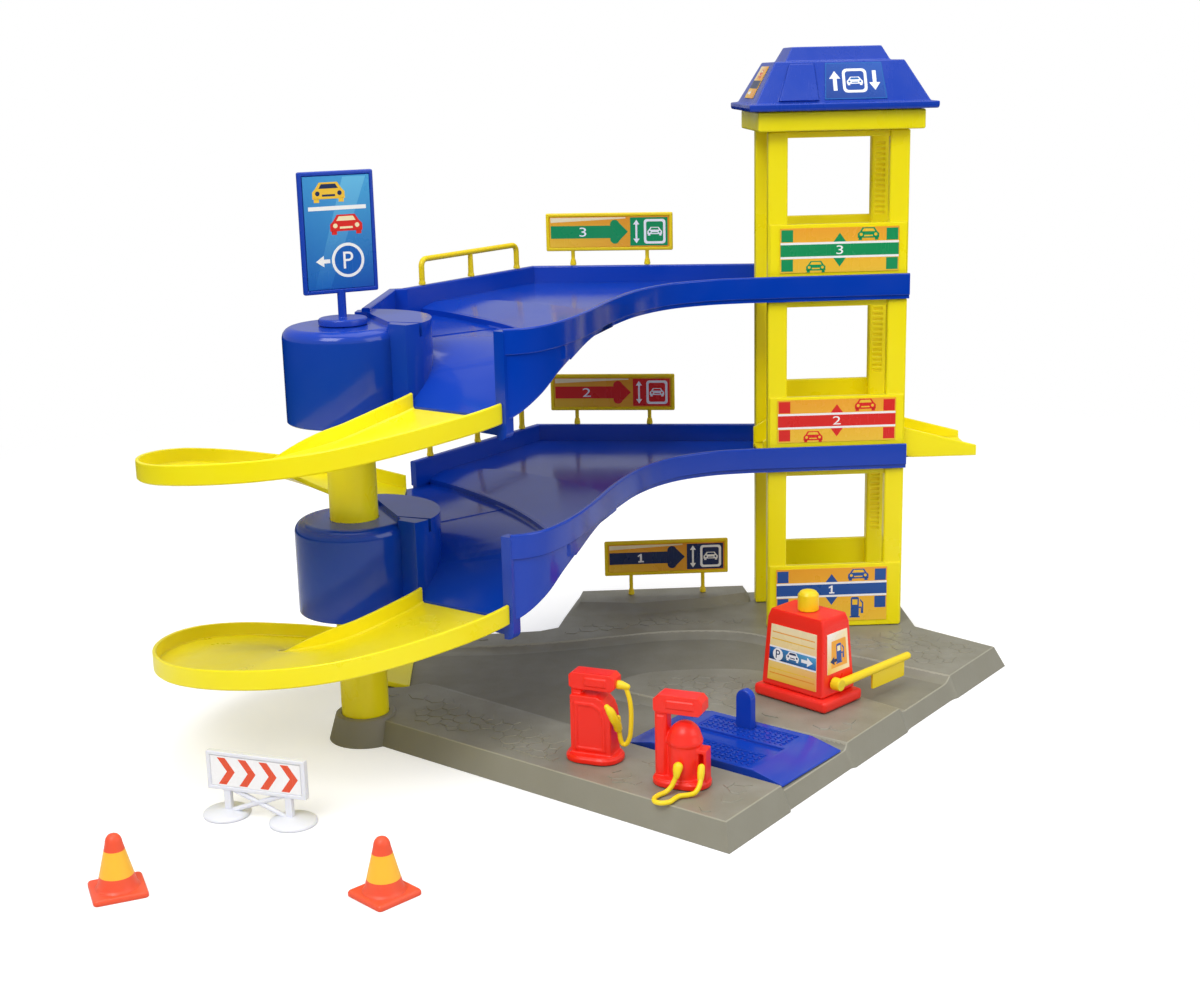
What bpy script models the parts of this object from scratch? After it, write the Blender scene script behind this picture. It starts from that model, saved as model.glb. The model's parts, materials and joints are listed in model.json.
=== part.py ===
"""Toy parking garage: a lift tower, two driving decks, two spiral ramps and a printed forecourt."""

import math

import bmesh
import bpy
from mathutils import Vector

MM = 0.001

# Where the tower's front left corner stands, so that the toy is centred on the origin
SHIFT_X = 92.05
SHIFT_Y = 98.48

# Clearances
GAP = 0.3
FIT = 0.3

# Levels
BASE_TOP = 11.0
ROAD_TOP = 8.0
LEVEL_STEP = 89.0
DECK_2 = 111.0
DECK_3 = DECK_2 + LEVEL_STEP
TOWER_TOP = 272.0
COLLAR_TOP = 282.0

# Deck, measured down from the top of its wall
FLOOR_DROP = 9.0
SLAB = 4.0
LANDING_DROP = 14.0
LANDING_SLAB = 3.0
APPROACH_DROP = 11.5
BAND = 11.0
WALL = 2.4
BACK_WALL = 3.6
CHUTE_END = 37.5
CHUTE_STEPS = 24
CHUTE_COLUMNS = 4
CHUTE_JOINS_WALL = -14.0
FLANGE_DROP = 47.5

# Tower
TOWER_W = 72.0
TOWER_FRONT = 3.4
TOWER_BACK = 56.5
POST_W = 10.0
FRONT_POST_D = 5.7
BACK_POST_D = 6.5
PANEL_PROUD = 0.7
PANEL_T = 2.4
PANEL_RISE = 26.0
GROUND_PANEL_TOP = 46.0
RACK_PITCH = 2.8
RACK_TEETH = 14

# Lift
LIFT_LEFT = -1.5
LIFT_END = 112.0
LIFT_FLOOR = 103.5
LIFT_T = 2.0
LIFT_WALL = 14.5
LIFT_LIP = 3.5
LIFT_PLAY = 0.6

# Column and hubs
AXIS_X = -206.0
AXIS_Y = -100.6
COLUMN_R = 11.1
HUB_R = 27.5
HUB_DROP = 4.0
HUB_FILLET = 5.0
HUB_BOTTOM = 47.0
SOCKET_DEPTH = 10.0

# Spiral ramp
RAMP_R = 90.0
RAMP_INNER = 38.0
RAMP_BULGE = 5.0
RAMP_WALL = 1.8
RAMP_WALL_H = 7.0
RAMP_FLOOR = 2.0
RAMP_TONGUE = 18.0

# Plan of the deck's front wall, from the tower's right corner to the end of the chute
FRONT = [(72.5, 0.0), (-8.0, -1.0), (-25.0, -3.0), (-37.0, -7.0), (-48.0, -13.0), (-57.5, -21.5),
         (-65.0, -31.0), (-72.0, -42.5), (-79.0, -58.0), (-86.0, -76.0), (-93.0, -97.0), (-100.0, -116.5),
         (-106.0, -130.0), (-111.5, -140.0), (-117.0, -148.0), (-122.5, -153.0), (-128.0, -155.9),
         (-134.0, -157.0)]

# Plan of the deck's back wall, from behind the tower to its left end
BACK = [(72.5, 66.0), (0.0, 66.0), (-120.0, 84.0), (-186.0, -3.0)]

# Plan of the curved step between the deck floor and the landing
STEP = [(-177.5, 5.0), (-173.5, 0.5), (-162.0, -13.5), (-149.0, -34.0), (-136.0, -57.0), (-126.0, -81.0),
        (-119.0, -102.0), (-113.5, -121.0), (-110.0, -134.0)]

# Plan of the line where the deck floor starts to fall towards the step
APPROACH = [(-178.0, 12.0), (-170.0, 13.0), (-156.0, 14.5), (-136.0, 7.5), (-116.5, -10.0), (-103.0, -25.0),
            (-90.0, -47.0), (-84.0, -66.0), (-84.0, -70.0)]

# Chute floor: angle about the column, drop at the hub side, drop at the outer side
CHUTE = [(40.0, 14.3, 14.3), (30.0, 14.8, 14.3), (22.0, 15.8, 14.3), (14.0, 17.4, 14.3), (6.0, 19.6, 14.3),
         (-2.0, 22.4, 14.3), (-9.0, 25.2, 14.5), (-14.0, 27.2, 15.7), (-18.0, 28.9, 17.8), (-22.0, 30.6, 20.6),
         (-26.0, 32.3, 24.4), (-30.0, 34.0, 28.4), (-34.0, 35.8, 32.8), (-38.0, CHUTE_END, CHUTE_END)]

# Ramp floor: angle travelled about the column and height of the lower ramp's floor
RAMP = [(-38.6, 72.6), (-50.0, 71.0), (-62.0, 69.0), (-77.0, 65.6), (-91.0, 62.0), (-106.0, 58.8),
        (-120.0, 56.0), (-134.0, 53.0), (-150.0, 49.5), (-165.0, 46.6), (-180.0, 43.8), (-194.0, 40.8),
        (-206.0, 37.6), (-217.0, 33.9), (-227.0, 30.2), (-237.0, 26.2), (-247.0, 22.5), (-258.0, 18.4),
        (-270.0, 14.6)]
RAMP_STEP = 7.5
RAMP_TIP = 9.5

# Base plate
BASE = [(-51.0, -237.0), (111.5, -38.5), (79.0, -1.0), (79.0, 71.0), (-99.0, 71.0), (-108.0, 36.0),
        (-112.0, 19.0), (-122.0, 14.0), (-209.0, 8.0), (-212.0, -95.0), (-197.0, -110.0)]
BASE_SLOPE = 5.0
BASE_SKIN = 2.6
ROAD = [(-10.0, -216.0), (-25.7, -201.5), (-83.5, -150.0), (-136.6, -101.0), (-180.0, -61.0), (-190.0, -66.0),
        (-204.0, -66.0), (-204.0, -7.0), (-186.0, -7.0), (-165.0, -7.0), (-142.0, -8.0), (-112.0, -5.0), (-86.0, 0.0),
        (-60.0, 5.0), (-40.0, 5.5), (-22.0, 3.0), (-8.0, -4.0), (10.0, -19.5), (78.1, -78.4), (96.0, -94.0),
        (62.0, -140.0), (43.5, -119.5), (3.0, -73.5), (-14.0, -61.0), (-30.0, -56.5), (-50.0, -55.8),
        (-68.0, -58.0), (-79.0, -64.0), (-84.0, -73.0), (-82.0, -82.0), (-70.0, -92.5), (9.7, -157.4),
        (26.0, -171.0)]
KERB = 1.6

# Service platform
PLATFORM_X = -38.5
PLATFORM_Y = -154.0
PLATFORM_L = 84.0
PLATFORM_W = 48.0
PLATFORM_T = 4.3
CHANNEL_TURN = math.radians(-41.0)
HANDLE_X = -4.0
HANDLE_Y = 17.3
HANDLE_W = 8.4
HANDLE_T = 4.2
HANDLE_TOP = 30.2

# Booth
BOOTH_X = 4.5
BOOTH_Y = -100.5
BOOTH_TURN = math.radians(-48.0)
BOOTH_PLINTH = (43.0, 29.0, 6.0)
BOOTH_FOOT = (37.0, 24.5)
BOOTH_HEAD = (33.0, 19.5)
BOOTH_TOP = 54.5
LAMP_R = 5.0
BARRIER_Z = 23.5
BARRIER_STUB = 3.5
BARRIER_STUB_R = 1.6

# Pumps
PUMP_1 = (-100.0, -165.5)
PUMP_2 = (-64.5, -197.0)
PUMP_TURN = math.radians(-25.0)
HOSE_R = 1.1

# Loose pieces
BARRICADE = (-243.4, -191.4)
BARRICADE_TURN = math.radians(-22.0)
CONE_LEFT = (-289.0, -254.0)
CONE_LEFT_TURN = math.radians(20.0)
CONE_RIGHT = (-185.5, -266.5)
CONE_RIGHT_TURN = math.radians(42.0)
CONE_BASE = 21.0
CONE_H = 24.3

# Printed labels
LABEL_GAP = 0.1
LABEL_T = 0.3

BLUE = (0.010, 0.062, 0.420)
YELLOW = (0.930, 0.730, 0.010)
RED = (0.780, 0.030, 0.012)
GREY = (0.190, 0.190, 0.170)
WHITE = (0.850, 0.850, 0.860)
ORANGE = (0.830, 0.100, 0.030)
PRINT = (0.850, 0.560, 0.120)

PARTS = None
CUTTERS = None
MATERIALS = {}


def material(name, colour, roughness):
    mat = bpy.data.materials.new(name)
    mat.use_nodes = True
    shader = mat.node_tree.nodes["Principled BSDF"]
    shader.inputs["Base Color"].default_value = (*colour, 1.0)
    shader.inputs["Roughness"].default_value = roughness
    MATERIALS[name] = mat
    return mat


def place(name, mesh, collection=None):
    ob = bpy.data.objects.new(name, mesh)
    (collection or CUTTERS).objects.link(ob)
    return ob


def mesh_from(ob):
    """The evaluated mesh of an object that then goes."""
    bpy.context.view_layer.update()
    graph = bpy.context.evaluated_depsgraph_get()
    mesh = bpy.data.meshes.new_from_object(ob.evaluated_get(graph))
    bpy.data.objects.remove(ob, do_unlink=True)
    bm = bmesh.new()
    bm.from_mesh(mesh)
    bmesh.ops.remove_doubles(bm, verts=bm.verts, dist=0.00001)
    bmesh.ops.recalc_face_normals(bm, faces=bm.faces)
    bm.to_mesh(mesh)
    bm.free()
    mesh.materials.clear()
    return mesh


def plate(name, outline, z0, z1, holes=()):
    """A flat plate of any outline."""
    curve = bpy.data.curves.new(name, "CURVE")
    curve.dimensions = "2D"
    curve.fill_mode = "BOTH"
    curve.extrude = (z1 - z0) / 2 * MM
    for loop in (outline, *holes):
        spline = curve.splines.new("POLY")
        spline.points.add(len(loop) - 1)
        for point, (x, y) in zip(spline.points, loop):
            point.co = (x * MM, y * MM, 0.0, 1.0)
        spline.use_cyclic_u = True
    mesh = mesh_from(place(name, curve))
    for vert in mesh.vertices:
        vert.co.z += (z0 + z1) / 2 * MM
    return place(name, mesh)


def loft(name, sections):
    """A closed solid through sections of the same number of points."""
    bm = bmesh.new()
    rings = [[bm.verts.new(Vector(p) * MM) for p in section] for section in sections]
    count = len(rings[0])
    for ring, after in zip(rings, rings[1:]):
        for i in range(count):
            j = (i + 1) % count
            bm.faces.new((ring[i], ring[j], after[j], after[i]))
    bm.faces.new(rings[0])
    bm.faces.new(rings[-1])
    bmesh.ops.triangulate(bm, faces=[face for face in bm.faces if len(face.verts) == 4])
    bmesh.ops.recalc_face_normals(bm, faces=bm.faces)
    mesh = bpy.data.meshes.new(name)
    bm.to_mesh(mesh)
    bm.free()
    return place(name, mesh)


def turned(x, y, angle, cx, cy):
    return (cx + x * math.cos(angle) - y * math.sin(angle), cy + x * math.sin(angle) + y * math.cos(angle))


def box(name, x0, x1, y0, y1, z0, z1, at=(0.0, 0.0), turn=0.0, round_edge=0.0):
    """A block, its corners given about a point and turned about it."""
    bm = bmesh.new()
    bmesh.ops.create_cube(bm, size=1.0)
    for vert in bm.verts:
        vert.co.x = (x0 + (x1 - x0) * (vert.co.x + 0.5)) * MM
        vert.co.y = (y0 + (y1 - y0) * (vert.co.y + 0.5)) * MM
        vert.co.z = (z0 + (z1 - z0) * (vert.co.z + 0.5)) * MM
    mesh = bpy.data.meshes.new(name)
    bm.to_mesh(mesh)
    bm.free()
    for vert in mesh.vertices:
        x, y = turned(vert.co.x, vert.co.y, turn, at[0] * MM, at[1] * MM)
        vert.co.x = x
        vert.co.y = y
    ob = place(name, mesh)
    if round_edge:
        bevel(ob, round_edge)
    return ob


def bevel(ob, width, segments=2, angle=30.0):
    mod = ob.modifiers.new("Rounded edges", "BEVEL")
    mod.width = width * MM
    mod.segments = segments
    mod.limit_method = "ANGLE"
    mod.angle_limit = math.radians(angle)
    return mod


def revolve(name, profile, x, y, steps=32):
    """A round solid: its profile runs from the top of the axis down the outer side to the bottom."""
    mesh = bpy.data.meshes.new(name)
    verts = [(r * MM, 0.0, z * MM) for r, z in profile]
    mesh.from_pydata(verts, [(i, i + 1) for i in range(len(verts) - 1)], [])
    ob = place(name, mesh)
    screw = ob.modifiers.new("Turned", "SCREW")
    screw.axis = "Z"
    screw.angle = math.tau
    screw.steps = steps
    screw.render_steps = steps
    screw.use_merge_vertices = True
    screw.merge_threshold = 0.00001
    mesh = mesh_from(ob)
    for vert in mesh.vertices:
        vert.co.x += x * MM
        vert.co.y += y * MM
    return place(name, mesh)


def cylinder(name, radius, z0, z1, x, y, steps=32):
    return revolve(name, [(0.0, z1), (radius, z1), (radius, z0), (0.0, z0)], x, y, steps)


def tube(name, points, radius, resolution=3):
    """A round bar along a line of points."""
    curve = bpy.data.curves.new(name, "CURVE")
    curve.dimensions = "3D"
    curve.bevel_depth = radius * MM
    curve.bevel_resolution = resolution
    curve.use_fill_caps = True
    spline = curve.splines.new("POLY")
    spline.points.add(len(points) - 1)
    for point, co in zip(spline.points, points):
        point.co = (co[0] * MM, co[1] * MM, co[2] * MM, 1.0)
    return place(name, mesh_from(place(name, curve)))


def sheet(name, corners, gap=LABEL_GAP, thickness=LABEL_T):
    """A thin printed label over four corners of a face, counter-clockwise seen from outside."""
    a, b, c, d = (Vector(p) for p in corners)
    normal = (b - a).cross(d - a).normalized()
    near = [p + normal * gap for p in (a, b, c, d)]
    far = [p + normal * (gap + thickness) for p in (a, b, c, d)]
    return loft(name, [near, far])


def offset(points, distance, closed=False):
    """The same line moved to its left."""
    result = []
    count = len(points)
    for i, (x, y) in enumerate(points):
        before = points[i - 1] if closed or i else None
        after = points[(i + 1) % count] if closed or i < count - 1 else None
        normals = []
        for p, q in ((before, (x, y)), ((x, y), after)):
            if p is None or q is None:
                continue
            dx = q[0] - p[0]
            dy = q[1] - p[1]
            length = math.hypot(dx, dy)
            normals.append((-dy / length, dx / length))
        if len(normals) == 1:
            nx, ny = normals[0]
            result.append((x + nx * distance, y + ny * distance))
            continue
        (ax, ay), (bx, by) = normals
        scale = distance / (1.0 + ax * bx + ay * by)
        result.append((x + (ax + bx) * scale, y + (ay + by) * scale))
    return result


def band(name, path, inner, outer, z0, z1):
    """An upright wall along an open line, between two distances to its left."""
    return plate(name, offset(path, outer) + offset(path, inner)[::-1], z0, z1)


def combine(ob, others, operation):
    """Joins solids to one, or cuts them out of it, all in one step."""
    group = bpy.data.collections.new(f"{ob.name} {operation.lower()}")
    CUTTERS.children.link(group)
    for other in others:
        CUTTERS.objects.unlink(other)
        group.objects.link(other)
    mod = ob.modifiers.new(operation.title(), "BOOLEAN")
    mod.operation = operation
    mod.solver = "EXACT"
    mod.operand_type = "COLLECTION"
    mod.collection = group


def finish(ob, name, mat, smooth=False):
    """Makes a worked solid a part of the toy."""
    CUTTERS.objects.unlink(ob)
    PARTS.objects.link(ob)
    ob.name = name
    ob.data.name = name
    ob.data.materials.clear()
    ob.data.materials.append(MATERIALS[mat])
    for poly in ob.data.polygons:
        poly.use_smooth = smooth
    return ob


def polar(radius, degrees):
    angle = math.radians(degrees)
    return (AXIS_X + radius * math.cos(angle), AXIS_Y + radius * math.sin(angle))


def along(start, end, distance):
    """The point at a distance from the start of a straight line."""
    share = distance / math.hypot(end[0] - start[0], end[1] - start[1])
    return (start[0] + (end[0] - start[0]) * share, start[1] + (end[1] - start[1]) * share)


def reach(path, degrees):
    """How far from the column axis a line in plan is met at an angle."""
    angle = math.radians(degrees)
    ux, uy = math.cos(angle), math.sin(angle)
    best = None
    for (ax, ay), (bx, by) in zip(path, path[1:]):
        ax, ay, bx, by = ax - AXIS_X, ay - AXIS_Y, bx - AXIS_X, by - AXIS_Y
        ex, ey = bx - ax, by - ay
        det = ex * uy - ey * ux
        if abs(det) < 1e-9:
            continue
        share = (ay * ux - ax * uy) / det
        dist = (ax + ex * share) * ux + (ay + ey * share) * uy
        if -0.001 <= share <= 1.001 and dist > 0 and (best is None or dist < best):
            best = dist
    return best


def between(table, value):
    """Straight-line reading of a table whose first column falls."""
    for low, high in zip(table, table[1:]):
        if low[0] >= value >= high[0]:
            share = (low[0] - value) / (low[0] - high[0])
            return low[1] + (high[1] - low[1]) * share
    return table[-1][1]


def arc(cx, cy, radius, start, end, count):
    return [(cx + radius * math.cos(math.radians(start + (end - start) * i / count)),
             cy + radius * math.sin(math.radians(start + (end - start) * i / count))) for i in range(count + 1)]


# Base plate
def make_base():
    top = BASE
    bottom = offset(BASE, -BASE_SLOPE, closed=True)
    base = loft("base", [[(x, y, 0.0) for x, y in bottom], [(x, y, BASE_TOP) for x, y in top]])
    bank = loft("bank", [
        [(-107.5, 36.5, BASE_TOP - 1.0), (-69.0, 35.0, BASE_TOP - 1.0), (-26.0, 43.5, BASE_TOP - 1.0),
         (-4.0, 52.0, BASE_TOP - 1.0), (-4.0, 70.5, BASE_TOP - 1.0), (-99.2, 70.5, BASE_TOP - 1.0)],
        [(-99.0, 48.0, 16.0), (-66.0, 42.0, 16.0), (-28.0, 47.5, 16.0),
         (-5.0, 55.0, 16.0), (-5.0, 68.0, 16.0), (-96.5, 68.0, 16.0)]])
    socket = revolve("socket", [(0.0, 12.5), (14.0, 12.5), (17.5, 0.0), (0.0, 0.0)], AXIS_X, AXIS_Y)
    road_top = offset(ROAD, -KERB, closed=True)
    road = loft("road", [[(x, y, ROAD_TOP) for x, y in ROAD], [(x, y, BASE_TOP + 1.0) for x, y in road_top]])
    inside = offset(BASE, BASE_SKIN + 2.0, closed=True)
    hollow = loft("hollow", [[(x, y, -1.0) for x, y in offset(BASE, BASE_SKIN - 2.0, closed=True)],
                             [(x, y, ROAD_TOP - BASE_SKIN) for x, y in inside]])
    keep = cylinder("socket core", 14.0, -2.0, ROAD_TOP, AXIS_X, AXIS_Y)
    combine(hollow, [keep], "DIFFERENCE")
    bore = cylinder("socket bore", COLUMN_R + FIT, 3.0, 20.0, AXIS_X, AXIS_Y)
    combine(base, [bank, socket], "UNION")
    combine(base, [hollow, road, bore], "DIFFERENCE")
    return finish(base, "base_plate", "base_grey")


# Decks
def make_deck(number, top):
    floor = top - FLOOR_DROP
    landing = top - LANDING_DROP
    shaft_y0 = TOWER_FRONT + FRONT_POST_D
    shaft_y1 = TOWER_BACK - BACK_POST_D
    inner_front = offset(FRONT, -0.4)
    edge = [p for p in inner_front if p[1] > STEP[-1][1] + 2.0]
    outline = edge + offset(STEP, 1.1)[::-1] + offset(BACK, 0.4)[::-1][1:]
    shaft_left = LIFT_LEFT - LIFT_PLAY
    outline += [(FRONT[0][0], shaft_y1), (shaft_left, shaft_y1), (shaft_left, shaft_y0), (FRONT[0][0], shaft_y0)]
    slab = plate(f"slab {number}", outline, floor - SLAB, floor)
    rise = (APPROACH_DROP - FLOOR_DROP) * 0.3
    fall = loft(f"fall {number}", [
        [(bx + (bx - sx) * 0.3, by + (by - sy) * 0.3, floor + rise), (sx, sy, top - APPROACH_DROP),
         (sx, sy, top + 1.0), (bx + (bx - sx) * 0.3, by + (by - sy) * 0.3, top + 1.0)]
        for (bx, by), (sx, sy) in zip(APPROACH, offset(STEP, -3.0))])
    step = band(f"step {number}", STEP, 0.0, WALL, landing - LANDING_SLAB, top - APPROACH_DROP + 0.2)
    front = band(f"front wall {number}", FRONT, -WALL, 0.0, top - BAND, top)
    back = band(f"back wall {number}", BACK, 0.0, BACK_WALL, floor - SLAB, top)
    low_back = band(f"landing wall {number}", [along(BACK[3], BACK[2], 56.0), along(BACK[3], BACK[2], 0.5)], 0.6,
                    BACK_WALL - 0.6, landing - LANDING_SLAB + 0.2, top - 1.0)
    ring = [polar(33.0, a) for a in range(34, 95, 6)]
    wall_line = offset(BACK[2:], 1.5)
    left = [(-192.0, -66.0), (-192.0, -9.0), (-185.5, -5.0), along(wall_line[1], wall_line[0], 13.0)]
    shifted = offset(STEP, 1.2)[1:5]
    land = plate(f"landing {number}", ring + left + shifted + [polar(reach(offset(STEP, 1.2), 34.0), 34.0)],
                 landing - LANDING_SLAB, landing)
    sections = []
    wall_in = offset(FRONT, -0.9)
    for step_index in range(CHUTE_STEPS + 1):
        angle = CHUTE[0][0] + (CHUTE[-1][0] - CHUTE[0][0]) * step_index / CHUTE_STEPS
        drop_in = between(CHUTE, angle)
        drop_out = between([(a, b) for a, _, b in CHUTE], angle)
        on_wall = angle <= CHUTE_JOINS_WALL
        if on_wall:
            ro = reach(wall_in, angle) or reach(wall_in, angle + 0.5)
            wall_top = top - 2.0
        else:
            ro = reach(offset(STEP, 1.6), angle)
            wall_top = top - APPROACH_DROP - 0.3
        ri = 34.5
        across = [(ri + (ro - 4.0 - ri) * i / CHUTE_COLUMNS,
                   top - drop_in + (drop_in - drop_out) * i / CHUTE_COLUMNS) for i in range(CHUTE_COLUMNS + 1)]
        points = [(r, z - LANDING_SLAB) for r, z in across]
        points += [(ro - 1.6, top - drop_out - LANDING_SLAB), (ro, top - drop_out - 1.4), (ro, wall_top),
                   (ro - 2.2, wall_top), (ro - 2.2, top - drop_out + 1.8)]
        points += across[::-1]
        sections.append([(*polar(r, angle), z) for r, z in points])
    chute = loft(f"chute {number}", sections)
    flange = plate(f"flange {number}", [polar(86.5, -38.4), polar(91.8, -38.4), polar(91.8, -35.2),
                                       polar(86.5, -35.2)], top - FLANGE_DROP, top - 1.0)
    bevel(flange, 1.2)
    lip = loft(f"lip {number}", [
        [(*polar(34.5, a), top - 45.5), (*polar(60.0, a), top - 43.0), (*polar(74.0, a), top - 45.5),
         (*polar(89.0, a), top - FLANGE_DROP + 1.5), (*polar(89.0, a), top - CHUTE_END - 1.0),
         (*polar(34.5, a), top - CHUTE_END - 1.0)] for a in (-37.6, -35.0)])
    fillet = [(HUB_R - HUB_FILLET + HUB_FILLET * math.sin(math.radians(a)),
               top - HUB_DROP - HUB_FILLET + HUB_FILLET * math.cos(math.radians(a))) for a in (0, 22, 45, 68, 90)]
    drum = revolve(f"hub {number}", [(0.0, top - HUB_DROP)] + fillet + [(HUB_R, top - HUB_BOTTOM),
                                                                       (0.0, top - HUB_BOTTOM)], AXIS_X, AXIS_Y, 40)
    wing_edge = [(36.5, -37.2), (38.2, -28.0), (39.2, -16.0), (39.5, 0.0), (39.5, 20.0), (39.0, 40.0),
                 (38.0, 58.0), (37.0, 74.0), (34.0, 84.0)]
    wing = plate(f"wing {number}", [polar(r, a) for r, a in wing_edge] + [polar(HUB_R - 1.5, a) for a in (84, 69, 54, 39, 24, 9, -6, -21, -37.2)],
                 top - HUB_BOTTOM + 0.6, top - 2.0)
    notch = box(f"notch {number}", 35.0, 44.0, -3.5, 3.5, top - 8.0, top, at=(AXIS_X, AXIS_Y),
                turn=math.radians(-24.0))
    line_out = offset(FRONT, -1.3)
    line_in = offset(STEP, 1.0)[::-1]
    corner = plate(f"corner {number}", [along(line_out[11], line_out[12], 5.0), line_out[12], line_out[13],
                                       line_in[0], line_in[1], along(line_in[1], line_in[2], 6.0)],
                   landing - LANDING_SLAB + 0.4, floor - SLAB + 0.6)
    solids = [land, step, back, low_back, front, chute, corner, lip, flange, drum, wing]
    if number == 3:
        closing = band("closing wall", [(-183.5, -1.2), (-192.5, -2.2), (-200.0, -74.0)], 0.0, 4.0,
                       landing - LANDING_SLAB - 0.4, top - 0.2)
        solids.append(closing)
    bore_low = cylinder(f"lower bore {number}", COLUMN_R + FIT, top - HUB_BOTTOM - 1.0,
                        top - HUB_BOTTOM + SOCKET_DEPTH, AXIS_X, AXIS_Y)
    cutters = [notch, bore_low]
    hollow = revolve(f"hub hollow {number}", [(15.0, top - 9.5), (22.5, top - 9.5), (24.7, top - 12.0),
                                              (24.7, top - HUB_BOTTOM - 1.0), (15.0, top - HUB_BOTTOM - 1.0),
                                              (15.0, top - 9.5)], AXIS_X, AXIS_Y, 40)
    cutters.append(hollow)
    if number == 2:
        cutters.append(cylinder("upper bore", COLUMN_R + FIT, top - HUB_DROP - SOCKET_DEPTH, top + 1.0,
                                AXIS_X, AXIS_Y))
    else:
        cutters.append(cylinder("sign bore", 2.5 + FIT, top - HUB_DROP - 5.0, top + 1.0, AXIS_X, AXIS_Y, 20))
    combine(slab, [fall], "DIFFERENCE")
    combine(slab, solids, "UNION")
    combine(slab, cutters, "DIFFERENCE")
    return finish(slab, f"deck_{number}", "deck_blue")


# Columns
def make_column(name, z0, z1):
    column = revolve(name, [(0.0, z1), (COLUMN_R - 0.6, z1), (COLUMN_R, z1 - 0.6), (COLUMN_R, z0 + 0.6),
                            (COLUMN_R - 0.6, z0), (0.0, z0)], AXIS_X, AXIS_Y, 40)
    hollow = cylinder(f"{name} hollow", COLUMN_R - 2.2, z0 - 1.0, z1 - 2.5, AXIS_X, AXIS_Y)
    combine(column, [hollow], "DIFFERENCE")
    return finish(column, name, "tower_yellow", smooth=False)


# Spiral ramps
def make_ramp(name, lift):
    sections = []
    angle = RAMP[0][0]
    stations = []
    while angle > -270.0:
        stations.append((angle, 0.0, between(RAMP, angle)))
        angle -= RAMP_STEP
    last = RAMP[-1][1]
    stations.append((-270.0, 0.0, last))
    for share in (0.33, 0.67, 1.0):
        stations.append((-270.0, RAMP_TONGUE * share, last + (RAMP_TIP - last) * share))
    for angle, along, floor in stations:
        z = floor + lift
        inner_h = 7.0 if angle > -95.0 else max(0.5, 7.0 - 6.5 * (-95.0 - angle) / 60.0)
        thick = RAMP_FLOOR if along < RAMP_TONGUE * 0.9 else RAMP_TIP - ROAD_TOP - GAP
        outer = RAMP_R + RAMP_BULGE * math.sin(math.pi * (angle - RAMP[0][0]) / (-270.0 - RAMP[0][0])) ** 2
        profile = [(RAMP_INNER, z - thick), (outer, z - thick), (outer, z + RAMP_WALL_H),
                   (outer - RAMP_WALL, z + RAMP_WALL_H), (outer - RAMP_WALL, z),
                   (RAMP_INNER + RAMP_WALL, z), (RAMP_INNER + RAMP_WALL, z + inner_h),
                   (RAMP_INNER, z + inner_h)]
        section = []
        for r, height in profile:
            x, y = polar(r, angle)
            section.append((x + along, y, height))
        sections.append(section)
    return finish(loft(name, sections), name, "tower_yellow")


# Tower frames
def make_tower_front(number, z0, z1, panel_top):
    y0 = TOWER_FRONT
    y1 = TOWER_FRONT + FRONT_POST_D
    frame = box(f"front post {number}", 0.0, POST_W, y0, y1, z0, z1, round_edge=0.8)
    right = box(f"front right post {number}", TOWER_W - POST_W, TOWER_W, y0, y1, z0, z1, round_edge=0.8)
    panel = box(f"front panel {number}", 0.8, TOWER_W - 0.8, y0 - PANEL_PROUD, y0 + PANEL_T, z0, panel_top,
                round_edge=0.6)
    rail = box(f"front rail {number}", 1.0, TOWER_W - 1.0, y0 + 1.6, y1 - 0.4, z1 - 3.2, z1 - 0.2)
    combine(frame, [right, panel, rail], "UNION")
    return finish(frame, f"tower_front_{number}", "tower_yellow")


def make_tower_back(number, z0, z1, panel_top):
    y0 = TOWER_BACK - BACK_POST_D
    y1 = TOWER_BACK
    frame = box(f"back post {number}", 0.0, POST_W, y0, y1, z0, z1, round_edge=0.8)
    right = box(f"back right post {number}", TOWER_W - POST_W, TOWER_W, y0, y1, z0, z1, round_edge=0.8)
    panel = box(f"back panel {number}", 0.8, TOWER_W - 0.8, y1 - PANEL_T, y1 + PANEL_PROUD, z0, panel_top,
                round_edge=0.6)
    rail = box(f"back rail {number}", 1.0, TOWER_W - 1.0, y0 + 0.8, y1 - 1.6, z1 - 3.2, z1 - 0.2)
    combine(frame, [right, panel, rail], "UNION")
    slots = []
    top = z1 - 8.0
    for i in range(RACK_TEETH):
        z = top - i * RACK_PITCH
        slots.append(box(f"rack slot {number}.{i}", TOWER_W - 8.0, TOWER_W - 3.0, y0 - 1.0, y0 + 0.9, z - 1.4, z))
    combine(frame, slots, "DIFFERENCE")
    return finish(frame, f"tower_back_{number}", "tower_yellow")


# Collar and roof
def ring_at(x0, x1, y0, y1, z):
    return [(x0, y0, z), (x1, y0, z), (x1, y1, z), (x0, y1, z)]


def make_collar():
    collar = box("collar", -6.0, 78.0, -3.5, 62.5, TOWER_TOP + GAP, COLLAR_TOP, round_edge=0.9)
    pocket = box("collar pocket", -3.5, 75.5, -1.0, 60.0, TOWER_TOP + GAP + 2.5, COLLAR_TOP + 2.0)
    combine(collar, [pocket], "DIFFERENCE")
    return finish(collar, "tower_collar", "tower_yellow")


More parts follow.
